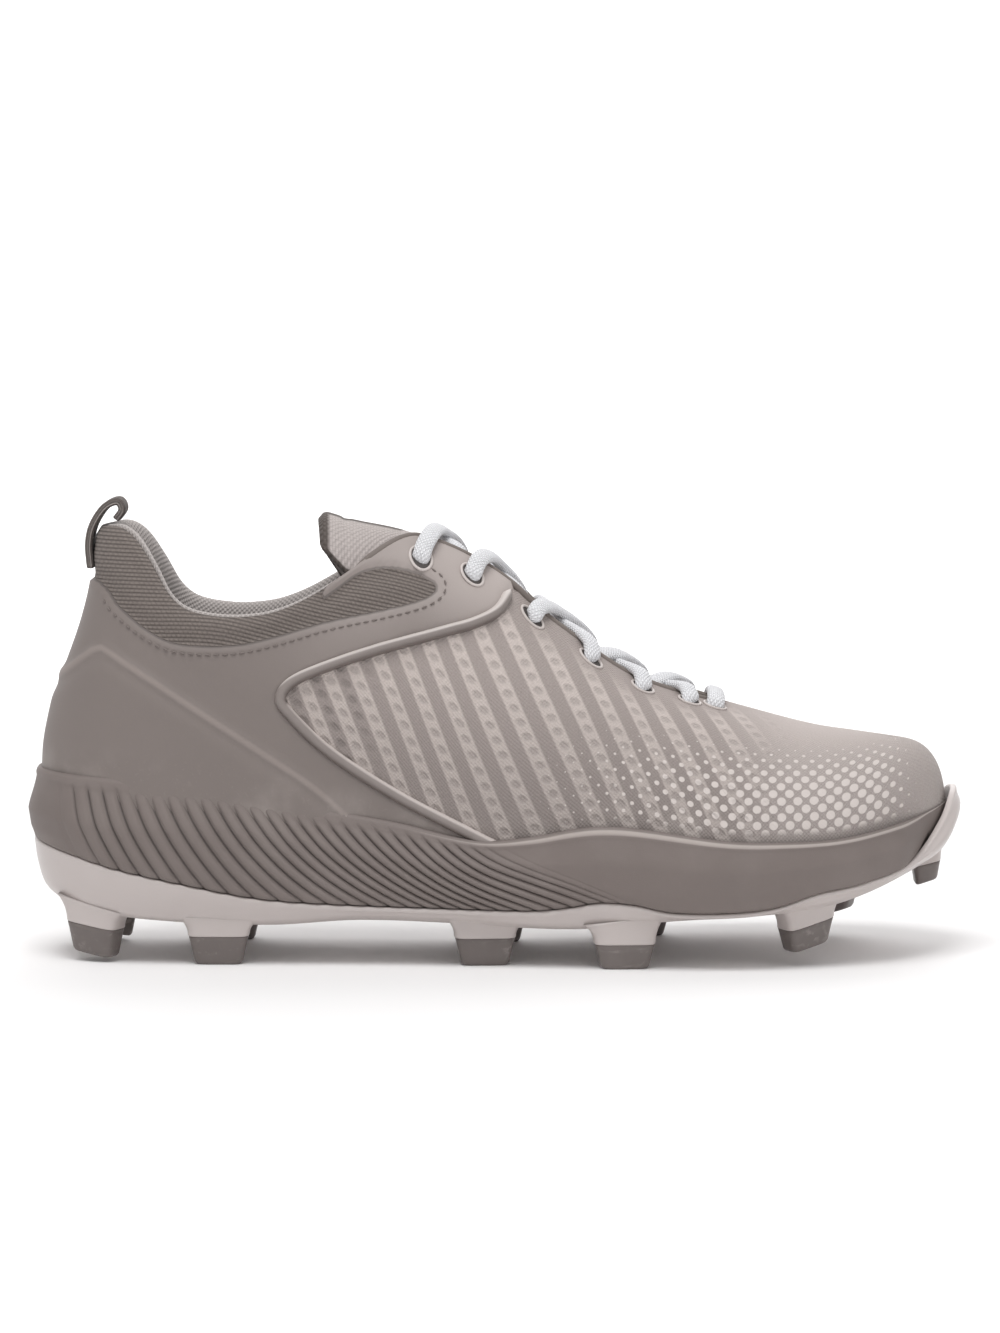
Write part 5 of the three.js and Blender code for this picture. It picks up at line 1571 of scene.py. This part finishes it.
@dataclass
class Midsole:
    """Foam midsole with its ribbed side wall, cup and body."""

    wardrobe: Wardrobe
    rib_pitch: float = 5.0
    rib_raise: float = 1.5
    rib_start: float = 9.0
    rib_end: float = 149.0
    shape: PlateShape = PlateShape()
    least_wall: float = 2.0
    levels: int = 26
    plain: float = 0.35
    core_inset: float = 10.0

    def places(self) -> Array:
        """Where the columns stand along the top line."""
        start = SHOE.length * SHOE.sweep(np.linspace(0, SHOE.turn_of(np.array(self.rib_start)), 22))
        ribs = np.arange(self.rib_start, self.rib_end + 2 * self.rib_pitch, self.rib_pitch / 8)
        front = SHOE.length * SHOE.sweep(np.linspace(SHOE.turn_of(ribs[-1]), 1, 90))
        return np.concatenate([start[:-1], ribs, front[1:]])

    def wall_out(self, x: Array, level: Array) -> Array:
        """Distance of the side wall outside the sole's outline, without ribs."""
        crease = CREASE.at("along", x / SHOE.length, "height")
        calm = mix(1, 0.45, fade(0.3, 0.62, x / SHOE.length))
        total = np.zeros(level.shape)
        knots = [np.zeros_like(crease), 0.45 * crease, crease, mix(crease, 1, 0.75),
                 np.full_like(crease, 0.93), np.ones_like(crease)]
        outs = [-2.0 * calm, -0.7 * calm, 0.0 * calm, -2.6 * calm, -2.9 * calm, -3.3 * calm]
        for low, high, a, b in zip(knots, knots[1:], outs, outs[1:]):
            share = np.clip((level - low) / np.maximum(high - low, 1e-6), 0, 1)
            share = np.where(high >= 1, share, mix(share, share * share * (3 - 2 * share), 0.35))
            total = np.where((level >= low) & (level <= high), mix(a, b, share), total)
        lip = np.exp(-(((level - 0.94) / 0.035) ** 2))
        return total + 0.45 * lip

    def turn_at(self, x: Array, depth: Array) -> Array:
        """Way round of a place on a column that leans forward towards its foot."""
        wall = SHOE.sole_line(MIDSOLE_TOP, x) - SHOE.sole_line(PLATE_TOP, x)
        lean = RIB_LEAN.at("along", x / SHOE.length, "lean")
        shift = lean * wall * (0.55 * depth + 0.45 * depth * depth)
        return SHOE.turn_of(np.minimum(x + shift, SHOE.length))

    def ribs(self, x: Array, levels: Array) -> tuple[Array, Array]:
        """Height of the rib shape along the shoe, and how far the ribs show at each level."""
        phase = (x - self.rib_start) / self.rib_pitch
        off_crest = np.abs(phase - np.floor(phase) - 0.5) * 2
        run = fade(self.rib_end + self.rib_pitch, self.rib_end - 4 * self.rib_pitch, x)
        run = run * fade(self.rib_start - self.rib_pitch, self.rib_start + 2 * self.rib_pitch, x)
        tall = fade(0.93, 0.8, levels) * mix(0.75, 1.0, fade(0.0, 0.15, levels))
        return (1 - off_crest**2.6) ** 0.8, run * tall

    def below_top(self, x: Array, z: Array) -> Array:
        """Heights kept under the top line by the least wall."""
        return np.minimum(z, SHOE.sole_line(MIDSOLE_TOP, x) - self.least_wall)

    def cup(self, side: float, x: Array) -> list[Array]:
        """Rings of the cup that holds the upper, from its top edge to under the foot."""
        turn = SHOE.turn_of(x)
        guess = SHOE.upper(side, turn, 0.1)[:, 0]
        top = SHOE.rise_at_height(side, turn, SHOE.sole_line(MIDSOLE_TOP, guess))
        rings = [SHOE.off_upper(side, turn, top * share, SHOE.clearance + 0.1)
                 for share in (1.0, 0.75, 0.45, 0.0)]
        rings[0][:, 2] = SHOE.sole_line(MIDSOLE_TOP, rings[0][:, 0]) - 0.6
        rings[3][:, 2] = SHOE.upper(side, turn, 0 * turn)[:, 2] - SHOE.clearance
        ends = (turn <= 0) | (turn >= 1)
        for ring in rings:
            ring[ends, 1] = SHOE.swing(turn[ends])
        return rings

    def side_grid(self, side: float) -> tuple[Array, Array]:
        """Places and groove number of one side, from the floor inside the plate to the cup; the
        number paints shade in the rib grooves and highlights on crests and lip.
        """
        x = self.places()[:, None]
        levels = np.linspace(0, 1, self.levels)[None, :]
        foot = self.turn_at(x, np.ones_like(x))
        plate = self.shape.section(side, foot)
        toe_out = np.minimum(plate["wall_top"], plate["wall_foot"]) - 2 * SHOE.clearance
        crest, ribs = self.ribs(x, levels)
        out = self.wall_out(x, levels + 0 * x) + ribs * (crest - 0.62) * self.rib_raise
        out = mix(toe_out - 0.05 * levels, out, 1 - fade(0.925, 0.975, x / SHOE.length))
        flat = SHOE.outline(side, self.turn_at(x, 1 - levels), out)
        seat = plate["edge_z"] + SHOE.clearance
        top_line = SHOE.sole_line(MIDSOLE_TOP, flat[..., 0])
        z = mix(self.below_top(flat[..., 0], seat), top_line, levels)
        face = np.concatenate([flat, z[..., None]], axis=-1)
        inner = [self.ring(side, foot, plate["floor_out"] - SHOE.clearance,
                           plate["floor_z"] + 1.5 * SHOE.clearance),
                 self.ring(side, foot, toe_out, plate["wall_z"] + 2 * SHOE.clearance),
                 self.ring(side, foot, toe_out, seat)]
        inner[2][:, 2] = self.below_top(inner[2][:, 0], inner[2][:, 2])
        core_x = mix(self.core_inset, SHOE.length - self.core_inset, x[:, 0] / SHOE.length)
        core = SHOE.swing(SHOE.turn_of(core_x))
        floor = SHOE.sole_line(PLATE_BOTTOM, core_x) + self.shape.floor + 1.5 * SHOE.clearance
        cup = self.cup(side, x[:, 0])
        ledge = face[:, -1] * 0.35 + cup[0] * 0.65
        ledge[:, 2] = SHOE.sole_line(MIDSOLE_TOP, ledge[:, 0]) + 0.15
        middle, heart = (np.stack([core_x, core, z], axis=-1) for z in (floor, cup[3][:, 2]))
        grid = np.stack([middle, *inner, *face.swapaxes(0, 1), ledge, *cup, heart], axis=1)
        # Painted shade and highlight number: high in the rib grooves, low on the crests, below zero
        # on the lip under the top edge.
        groove = np.full(grid.shape[:2], self.plain)
        lip = fade(0.86, 0.95, levels) * fade(0.99, 0.97, levels)
        shown = 0.15 + 0.85 * fade(0.3, 0.62, x / SHOE.length)
        first = 1 + len(inner)
        groove[:, first:first + self.levels] = mix(mix(self.plain, 1 - crest, ribs), -shown, lip)
        return grid, groove

    def ring(self, side: float, turn: Array, out: Array, height: Array) -> Array:
        """Loop of places at one distance from the outline and at given heights."""
        flat = SHOE.outline(side, turn, out)
        return np.concatenate([flat, np.broadcast_to(height, turn.shape)[..., None]], axis=-1)[:, 0]

    def build(self) -> None:
        """Makes the midsole, welded at the heel and the toe."""
        bench = Bench()
        for side in (LATERAL, MEDIAL):
            grid, groove = self.side_grid(side)
            bench.lay(grid, heart=middle_of(grid), numbers={"groove": groove}, weld=0.0)
        bench.join_sides()
        bench.show("midsole_foam", [self.wardrobe["midsole_foam"]], ("midsole",))


@dataclass
class Outsole:
    """Moulded plate with its toe bumper, pedestals and stud tips."""

    wardrobe: Wardrobe
    shape: PlateShape = PlateShape()
    columns: int = 230
    flare: float = 1.24
    taper: float = 0.76
    rib_pitch: float = 9.0
    rib_depth: float = 0.7
    hollow: float = 1.5

    def corner_cut(self, rows: Array, times: int) -> Array:
        """Rounds the corners of profile rows by cutting them again and again."""
        for _ in range(times):
            near = 0.75 * rows[:, :-1] + 0.25 * rows[:, 1:]
            far = 0.25 * rows[:, :-1] + 0.75 * rows[:, 1:]
            woven = np.stack([near, far], axis=2).reshape(rows.shape[0], -1, rows.shape[2])
            rows = np.concatenate([rows[:, :1], woven, rows[:, -1:]], axis=1)
        return rows

    def plate_grid(self, side: float) -> Array:
        """Places of one side of the plate, from the inside over the edge to the middle below."""
        turn = np.linspace(0, 1, self.columns + 1)
        s = self.shape.section(side, turn)
        profile = np.stack([np.stack(pair, axis=-1) for pair in (
            (s["floor_out"], s["floor_z"]), (s["wall_foot"], s["wall_z"]),
            (s["wall_top"], s["edge_z"] - 0.4), (mix(s["wall_top"], s["edge"], 0.5), s["edge_z"]),
            (s["edge"] + 0.35, s["edge_z"] - 0.2), (s["edge"] + 0.3, s["edge_z"] - 1.6),
            (s["middle"], s["middle_z"]), (s["low"], s["low_z"]), (s["bottom"], s["bottom_z"]),
        )], axis=1)
        profile = self.corner_cut(profile, 2)
        flat = SHOE.outline(side, turn[:, None], profile[..., 0])
        shell = np.concatenate([flat, profile[..., 1:]], axis=-1)
        last = shell[:, -1]
        core = mix(8.0, SHOE.length - 8.0, SHOE.sweep(turn))
        core = np.stack([core, SHOE.swing(SHOE.turn_of(core))], axis=-1)
        below = []
        for share in np.linspace(0, 1, 15)[1:]:
            row = last.copy()
            row[:, :2] = mix(last[:, :2], core, share)
            row[:, 2] = SHOE.sole_line(PLATE_BOTTOM, row[:, 0]) + self.relief(row, share)
            below.append(row)
        floor = SHOE.sole_line(PLATE_BOTTOM, core[:, 0]) + self.shape.floor
        inside = np.concatenate([core, floor[:, None]], axis=-1)
        return np.concatenate([inside[:, None], shell, np.stack(below, axis=1)], axis=1)

    def relief(self, row: Array, share: float) -> Array:
        """Shallow ribs and a hollow waist on the underside of the plate."""
        x, y = row[:, 0], row[:, 1]
        inner = fade(0.1, 0.3, share)
        waist = fade(92, 112, x) * fade(186, 160, x)
        hollow = self.hollow * waist * fade(0.25, 0.6, share)
        slant = np.abs(np.sin((x + 0.55 * np.abs(y)) * np.pi / self.rib_pitch))
        ribs = -self.rib_depth * np.maximum(slant - 0.72, 0) / 0.28
        shown = fade(24, 40, x) * fade(284, 262, x) * inner
        return hollow + ribs * shown * (1 - 0.6 * waist)

    def block(self, bench: Bench, stud: Stud, rows: list[tuple[float, float, float]],
              ends: tuple[tuple[float, float], tuple[float, float]]) -> None:
        """Lays one stud's rounded block.

        Args:
            bench: where it is laid.
            stud: the stud.
            rows: share of the way down, share of the size and how far it is drawn in to the cap.
            ends: heights at the rear and front of the upper and the lower end.
        """
        angle = np.linspace(0, 2 * np.pi, 45)
        u, v = squarer(np.cos(angle), 0.42) / 2, squarer(np.sin(angle), 0.42) / 2
        yaw = math.radians(stud.turn)
        rings = []
        for down, share, drawn in rows:
            across = share if share < 1 else 1 + 0.3 * (share - 1)
            px, py = u * stud.long * share * drawn, v * stud.wide * across * drawn
            lean = np.clip(px / stud.long + 0.5, -0.2, 1.2)
            top = mix(ends[0][0], ends[0][1], lean)
            foot = mix(ends[1][0], ends[1][1], lean)
            rings.append(np.stack([
                stud.along * SHOE.length + px * math.cos(yaw) - py * math.sin(yaw),
                stud.side * SHOE.half_ball + px * math.sin(yaw) + py * math.cos(yaw),
                mix(top, foot, down),
            ], axis=-1))
        grid = np.stack(rings)
        heart = grid.mean(axis=1, keepdims=True) * (1, 1, 0) + (0, 0, grid[..., 2].mean())
        bench.lay(grid, heart=heart, weld=0.01)

    def build(self) -> None:
        """Makes the plate with its pedestals, and each stud tip."""
        bench = Bench()
        for side in (LATERAL, MEDIAL):
            grid = self.plate_grid(side)
            bench.lay(grid, heart=middle_of(grid), weld=0.0)
        bench.join_sides()
        for stud in STUDS:
            reach = stud.long * self.flare / 2
            x = stud.along * SHOE.length
            inside = [float(SHOE.sole_line(PLATE_BOTTOM, np.array(x + s * reach))) + 2.2
                      for s in (-1, 1)]
            top = [SHOE.stud_height * h for h in stud.top]
            rows = [(s, mix(1.4, 1.02, 1 - (1 - s) ** 2.2), 1.0) for s in np.linspace(0, 0.92, 10)]
            rows += [(0.97, 1.015, 1.0), (1.0, 1.0, 0.98), (1.0, 1.0, 0.6), (1.0, 1.0, 0.0)]
            self.block(bench, stud, rows, (tuple(inside), tuple(top)))
        bench.show("plate", [self.wardrobe["plate_plastic"]], ("outsole_plate",))
        for stud in STUDS:
            bench = Bench()
            top = tuple(SHOE.stud_height * h for h in stud.top)
            end = tuple(SHOE.stud_height * h for h in stud.end)
            rows = [(0.0, 1.0, 0.0), (0.0, 1.0, 0.7), (0.0, 0.985, 0.97), (0.03, 0.99, 1.0)]
            rows += [(s, mix(0.99, self.taper + 0.02, s), 1.0) for s in (0.2, 0.4, 0.6, 0.8, 0.88)]
            rows += [(0.94, self.taper + 0.015, 0.99), (0.98, self.taper, 0.965),
                     (1.0, self.taper, 0.91), (1.0, self.taper, 0.5), (1.0, self.taper, 0.0)]
            self.block(bench, stud, rows, (top, end))
            bench.show(f"tip_{stud.name}", [self.wardrobe["stud_plastic"]],
                       (f"stud_{stud.name}",))


@dataclass
class Insole:
    """Footbed inside the upper."""

    wardrobe: Wardrobe
    thick: float = 3.5

    def build(self) -> None:
        """Makes a closed pad with softly raised edges."""
        bench = Bench()
        clear = SHOE.wall + 2 * SHOE.clearance
        turn = np.linspace(0, 1, 120)
        for side in (LATERAL, MEDIAL):
            edge = SHOE.off_upper(side, turn, 0 * turn, -clear)
            edge[:, 2] = SHOE.upper(side, turn, 0 * turn)[:, 2]
            core = mix(SHOE.heel_inset + clear, SHOE.length - SHOE.toe_inset - clear,
                       SHOE.sweep(turn))
            centre = SHOE.swing(SHOE.turn_of(core))
            rows = []
            for share, up in ((0.0, 0.0), (1.0, 0.0), (1.0, 0.5), (0.995, 0.85), (0.975, 1.0),
                              (0.9, 0.98), (0.75, 0.88), (0.5, 0.8), (0.25, 0.77), (0.0, 0.76)):
                row = edge.copy()
                row[:, :2] = mix(np.stack([core, centre], axis=-1), edge[:, :2], share)
                row[:, 2] += up * self.thick
                rows.append(row)
            grid = np.stack(rows, axis=1)
            bench.lay(grid, heart=middle_of(grid), flat=(grid[..., 0], grid[..., 1]),
                      numbers={"edge": NO_EDGE}, weld=0.0)
        bench.join_sides()
        bench.show("footbed", [self.wardrobe["insole_cloth"]], ("insole",))


@dataclass
class Tongue:
    """Padded tongue with a bound top edge."""

    wardrobe: Wardrobe
    thick: float = 4.6
    drop: float = 1.8

    @classmethod
    def drop_at(cls, along: Array) -> Array:
        """How far the tongue lies below the wall of the upper, less towards the front."""
        return cls.drop * (1 - fade(0.45, 0.68, along))

    def build(self) -> None:
        """Makes the pad by closed sections along the shoe."""
        first, last = TONGUE_WIDTH.rows[0][0], TONGUE_WIDTH.rows[-1][0]
        run = np.linspace(0, 1, 90) ** 1.15
        along = mix(first, last, run)
        x = along * SHOE.length
        from_back = (along - first) * SHOE.length
        half = SHOE.half_ball * TONGUE_WIDTH.at("along", along, "half")
        half = half * mix(0.9, 1.0, np.sqrt(np.clip(from_back / 7, 0, 1)))
        depth = SHOE.wall + SHOE.clearance + self.drop_at(along)
        angle = np.linspace(0, 2 * np.pi, 61)
        across, tall = squarer(np.cos(angle), 0.75), squarer(np.sin(angle), 0.5)
        middle = SHOE.swing(SHOE.turn_of(x))
        nose = np.clip(from_back / 2.3, 0, 1)
        end = np.maximum(np.sqrt(nose * (2 - nose)), 0.03)
        pad = self.thick * (1 + 0.22 * fade(30, 4, from_back)) * end
        centre = -(depth + self.thick / 2)
        outward = centre[:, None] + tall[None, :] * pad[:, None] / 2
        groove = 0.5 * np.exp(-(((from_back - 7.5) / 1.1) ** 2))
        outward = outward - groove[:, None] * np.maximum(tall, 0)[None, :]
        girth = across[None, :] * half[:, None]
        places = SHOE.from_above(x[:, None], middle[:, None] + girth, outward)
        edge = np.minimum(from_back[:, None] * 0.28, (1 - np.abs(across))[None, :] * half[:, None])
        strip = np.where(tall[None, :] > 0, np.abs(girth) * 0.14, 9.0)
        edge = np.minimum(edge, strip + 9 * fade(0.4, 0.44, along)[:, None])
        bench = Bench()
        bench.lay(places, heart=places.mean(axis=1, keepdims=True), flat=(x[:, None], girth),
                  numbers={"edge": edge})
        piece = bench.show("tongue_pad", [self.wardrobe["tongue_cloth"]], ("tongue",))


@dataclass
class Laces:
    """The lace where it shows, from eyelet to eyelet, and the eyelets that it runs through."""

    wardrobe: Wardrobe
    wide: float = 2.9
    thick: float = 1.65
    inset: float = 6.0
    lift: float = 0.1
    front: float = 0.732
    steps: int = 54
    hole: tuple = (3.4, 2.3)

    def throat(self, x: float) -> tuple[float, float, float]:
        """Middle line, half throat and layer height at a place along the shoe."""
        at = np.array(x)
        half = float(SHOE.half_ball * THROAT.at("along", at / SHOE.length, "half"))
        layer = 1.5 if x < RIM_LINE.rows[0][0] * SHOE.length else 0.0
        return float(SHOE.swing(SHOE.turn_of(at))), max(half, 3.6), layer

    def end_points(self, along: float, side: float, over: bool, toward: float) -> list:
        """Places of a bar from its eyelet to the throat edge, as x, y and height off the upper.

        Args:
            along: place of the eyelet row.
            side: -1 for the lateral and 1 for the medial side.
            over: whether the lace lies on top of the eyestay here.
            toward: 1 if the bar runs to a row ahead, -1 if to a row behind.

        Returns:
            Rows from the eyelet to the edge.
        """
        x = along * SHOE.length
        middle, half, layer = self.throat(x)
        eyelet = half + self.inset
        top = layer + self.lift + self.thick
        if over:
            return [
                (x - 0.6 * toward, middle + side * (eyelet + 0.4), -2.2),
                (x, middle + side * eyelet, top - 1.0),
                (x + 0.6 * toward, middle + side * (eyelet - 2.0), top),
                (x + 2.2 * toward, middle + side * (half + 0.6), top + 0.25),
            ]
        low = -SHOE.wall - self.thick - 0.2
        return [
            (x, middle + side * (half + 3.6), low),
            (x + 1.5 * toward, middle + side * (half + 0.4), low + 0.5),
            (x + 3.2 * toward, middle + side * (half - 2.6), low + 2.9),
        ]

    def bar(self, bench: Bench, start: list, end: list, hump: float) -> None:
        """Lays one bar between two ends."""
        rows = start + [None] + end[::-1]
        middle = len(start)
        points = np.array([row if row else (0, 0, 0) for row in rows], float)
        points[middle, :2] = (points[middle - 1, :2] + points[middle + 1, :2]) / 2
        drop = Tongue.drop_at(points[middle, 0] / SHOE.length)
        points[middle, 2] = self.thick - SHOE.wall - SHOE.clearance - drop + self.lift + hump
        fine = smooth_run(points, 9)
        count = self.steps
        path = settled(SHOE.from_above(fine[:, 0], fine[:, 1], fine[:, 2]), 2)
        path = even_run(path, count)
        above = SHOE.from_above(fine[:, 0], fine[:, 1], fine[:, 2] + 1.0)
        outward = unit(even_run(above, count) - path)
        from_end = np.minimum(np.arange(count), np.arange(count)[::-1])
        size = np.clip(0.35 + from_end / 5, 0.35, 1)
        bench.sweep(path, outward, oval(self.wide, self.thick, 16, 0.85), size)

    def build(self) -> None:
        """Makes every crossing, the straight front bar and the eyelets."""
        rows = EYELETS.rows
        for number, (rear, front) in enumerate(zip(rows, rows[1:]), 1):
            bench = Bench()
            for side, hump in ((LATERAL, 2.6), (MEDIAL, 0.0)):
                start = self.end_points(rear[0], side, bool(rear[1]), 1)
                end = self.end_points(front[0], -side, bool(front[2]), -1)
                self.bar(bench, start, end, hump)
            bench.show(f"lace_{number}", [self.wardrobe["lace_braid"]],
                       (f"lace_crossing_{number}",))
        bench = Bench()
        ends = [self.end_points(self.front, side, True, 0) for side in (LATERAL, MEDIAL)]
        self.bar(bench, ends[0], ends[1], 2.9)
        bench.show("lace_front", [self.wardrobe["lace_braid"]], ("lace_front_bar",))
        self.eyelets()

    def eyelets(self) -> None:
        """Makes a raised edge at the end of each row, with a dark disc inside it as painted shade in
        the punched hole.
        """
        bench = Bench()
        for along in [*EYELETS.column("along"), self.front]:
            x = along * SHOE.length
            middle, half, layer = self.throat(x)
            for side in (LATERAL, MEDIAL):
                angle = np.linspace(0, 2 * np.pi, 33)
                reach = half + self.inset
                y = middle + side * reach
                px, py = self.hole[0] * np.cos(angle), self.hole[1] * np.sin(angle)
                rim = SHOE.from_above(x + px, y + py, layer + 0.15)
                out = unit(SHOE.from_above(x + px, y + py, layer + 1.15) - rim)
                bench.sweep(rim, out, oval(0.5, 0.42, 8))
                grid = np.stack([
                    SHOE.from_above(x + px * share, y + py * share, layer + deep)
                    for share, deep in ((1.0, 0.1), (0.8, 0.12), (0.4, 0.12), (0.02, 0.12))
                ])
                # Dark disc in the hole: painted shade.
                bench.lay(grid, heart=grid - out[None] * 3, material=1, weld=0.01)
        bench.show("eyelets", [self.wardrobe["rim_film"], self.wardrobe["eyelet_dark"]])


@dataclass
class PullLoop:
    """Folded tape at the back of the collar."""

    wardrobe: Wardrobe
    tape: float = 2.3
    wide: float = 15.0
    steps: int = 90

    def build(self) -> None:
        """Makes the tape with rounded selvedges and the slit between its two plies."""
        count = self.steps
        line = even_run(smooth_run(SHOE.side_view(LOOP_LINE, SHOE.collar_height), 10), count)
        path = np.stack([line[:, 0], 0 * line[:, 0], line[:, 1]], axis=1)
        outward = np.repeat([[0.0, 1.0, 0.0]], len(path), axis=0)
        half, thin = self.wide / 2, self.tape / 2
        section = np.array([
            (0.0, -half + 0.9), (0.28, -half + 0.1), (0.75, -half), (thin, -half + 0.7),
            (thin, -half / 2), (thin, 0.0), (thin, half / 2), (thin, half - 0.7), (0.75, half),
            (0.28, half - 0.1), (0.0, half - 0.9), (-0.28, half - 0.1), (-0.75, half),
            (-thin, half - 0.7), (-thin, half / 2), (-thin, 0.0), (-thin, -half / 2),
            (-thin, -half + 0.7), (-0.75, -half), (-0.28, -half + 0.1), (0.0, -half + 0.9),
        ])
        slit = np.array([1.0 if abs(a) < 0.3 else 0.0 for a, _ in section])
        from_end = np.minimum(np.arange(count), np.arange(count)[::-1])
        bench = Bench()
        bench.sweep(path, outward, section, np.clip(from_end / 2 + 0.3, 0.3, 1),
                    numbers={"edge": slit[None, :]})
        bench.show("heel_pull_loop", [self.wardrobe["heel_webbing"]], ("pull_loop",))


@dataclass
class Studio:
    """Pale floor, soft lights and the camera."""

    wardrobe: Wardrobe
    aim: tuple = (0.0012, 0.0, 0.0915)
    distance: float = 1.6
    elevation: float = 5.0
    frame_width: float = 0.3203
    front: float = -2.0
    deep: float = 4.6
    half_wide: float = 6.0
    radius: float = 0.9
    flat_share: float = 0.55
    bend_share: float = 0.625
    wall_rate: float = 8.0

    def build(self) -> None:
        """Makes the floor, the world, four lights and the camera."""
        self.floor()
        bpy.context.scene.view_settings.view_transform = "Standard"
        self.light_room()
        for name, place, aim, size, power in (
            ("key", (-0.2, -0.6, 1.6), self.aim, 0.9, 17.0),
            ("fill", (1.1, -0.9, 0.8), self.aim, 1.2, 2.0),
            ("back", (0.2, 1.1, 1.3), self.aim, 1.2, 7.0),
            ("wall", (0.0, 1.3, 2.0), (0.0, 3.4, 1.0), 2.0, 70.0),
        ):
            self.lamp(name, place, aim, size, power)
        self.camera()

    def floor(self) -> None:
        """Lays the floor, which turns up into a wall behind the shoe."""
        form = bmesh.new()
        made = bmesh.ops.create_grid(form, x_segments=2, y_segments=40, size=1.0)["verts"]
        for vertex in made:
            share = (vertex.co.y + 1) / 2
            bend = max(share - self.flat_share, 0) / (1 - self.flat_share)
            turn = min(bend / self.bend_share, 1) * math.pi / 2
            run = self.front + min(share, self.flat_share) / self.flat_share * self.deep
            up = max(bend - self.bend_share, 0) * self.wall_rate
            vertex.co = Vector((vertex.co.x * self.half_wide, run + self.radius * math.sin(turn),
                                self.radius * (1 - math.cos(turn)) + up))
        for face in form.faces:
            face.smooth = True
        mesh = bpy.data.meshes.new("floor")
        form.to_mesh(mesh)
        form.free()
        floor = bpy.data.objects.new("floor", mesh)
        bpy.context.scene.collection.objects.link(floor)
        mesh.materials.append(self.wardrobe["floor_plain"])

    def light_room(self) -> None:
        """White light from all round."""
        world = bpy.data.worlds.new("room")
        world.use_nodes = True
        shade = world.node_tree.nodes["Background"]
        shade.inputs[0].default_value = srgb(255, 255, 255)
        shade.inputs[1].default_value = 0.5
        bpy.context.scene.world = world

    def lamp(self, name: str, place: tuple, aim: tuple, size: float, power: float) -> None:
        """Square soft light turned to a place."""
        data = bpy.data.lights.new(name, "AREA")
        data.size, data.energy = size, power
        lamp = bpy.data.objects.new(name, data)
        lamp.location = place
        lamp.rotation_euler = (Vector(aim) - lamp.location).to_track_quat("-Z", "Y").to_euler()
        bpy.context.scene.collection.objects.link(lamp)

    def camera(self) -> None:
        """Camera at the photograph's angle, five degrees above the floor."""
        data = bpy.data.cameras.new("camera")
        data.sensor_width = 36.0
        tall = self.frame_width * 1333 / 1000
        data.lens = data.sensor_width / 2 / (tall / 2 / self.distance)
        camera = bpy.data.objects.new("camera", data)
        raise_by = math.radians(self.elevation)
        aim = Vector(self.aim)
        away = Vector((0.0, -math.cos(raise_by), math.sin(raise_by)))
        camera.location = aim + away * self.distance
        camera.rotation_euler = (-away).to_track_quat("-Z", "Y").to_euler()
        bpy.context.scene.collection.objects.link(camera)
        bpy.context.scene.camera = camera


def main() -> None:
    """Builds the finishes, then each part of the shoe in order."""
    logging.basicConfig(level=logging.INFO, format="%(message)s")
    SharedGroups().build()
    wardrobe = Wardrobe()
    wardrobe.build()
    parts = (
        Studio(wardrobe), Outsole(wardrobe), Midsole(wardrobe), Insole(wardrobe), Upper(wardrobe),
        CollarLining(wardrobe), ThroatBinding(wardrobe), SaddleRims(wardrobe), Stitching(wardrobe),
        Tongue(wardrobe), Laces(wardrobe), PullLoop(wardrobe),
    )
    for part in parts:
        part.build()
        LOG.info("%s done", type(part).__name__)


if __name__ == "__main__":
    main()
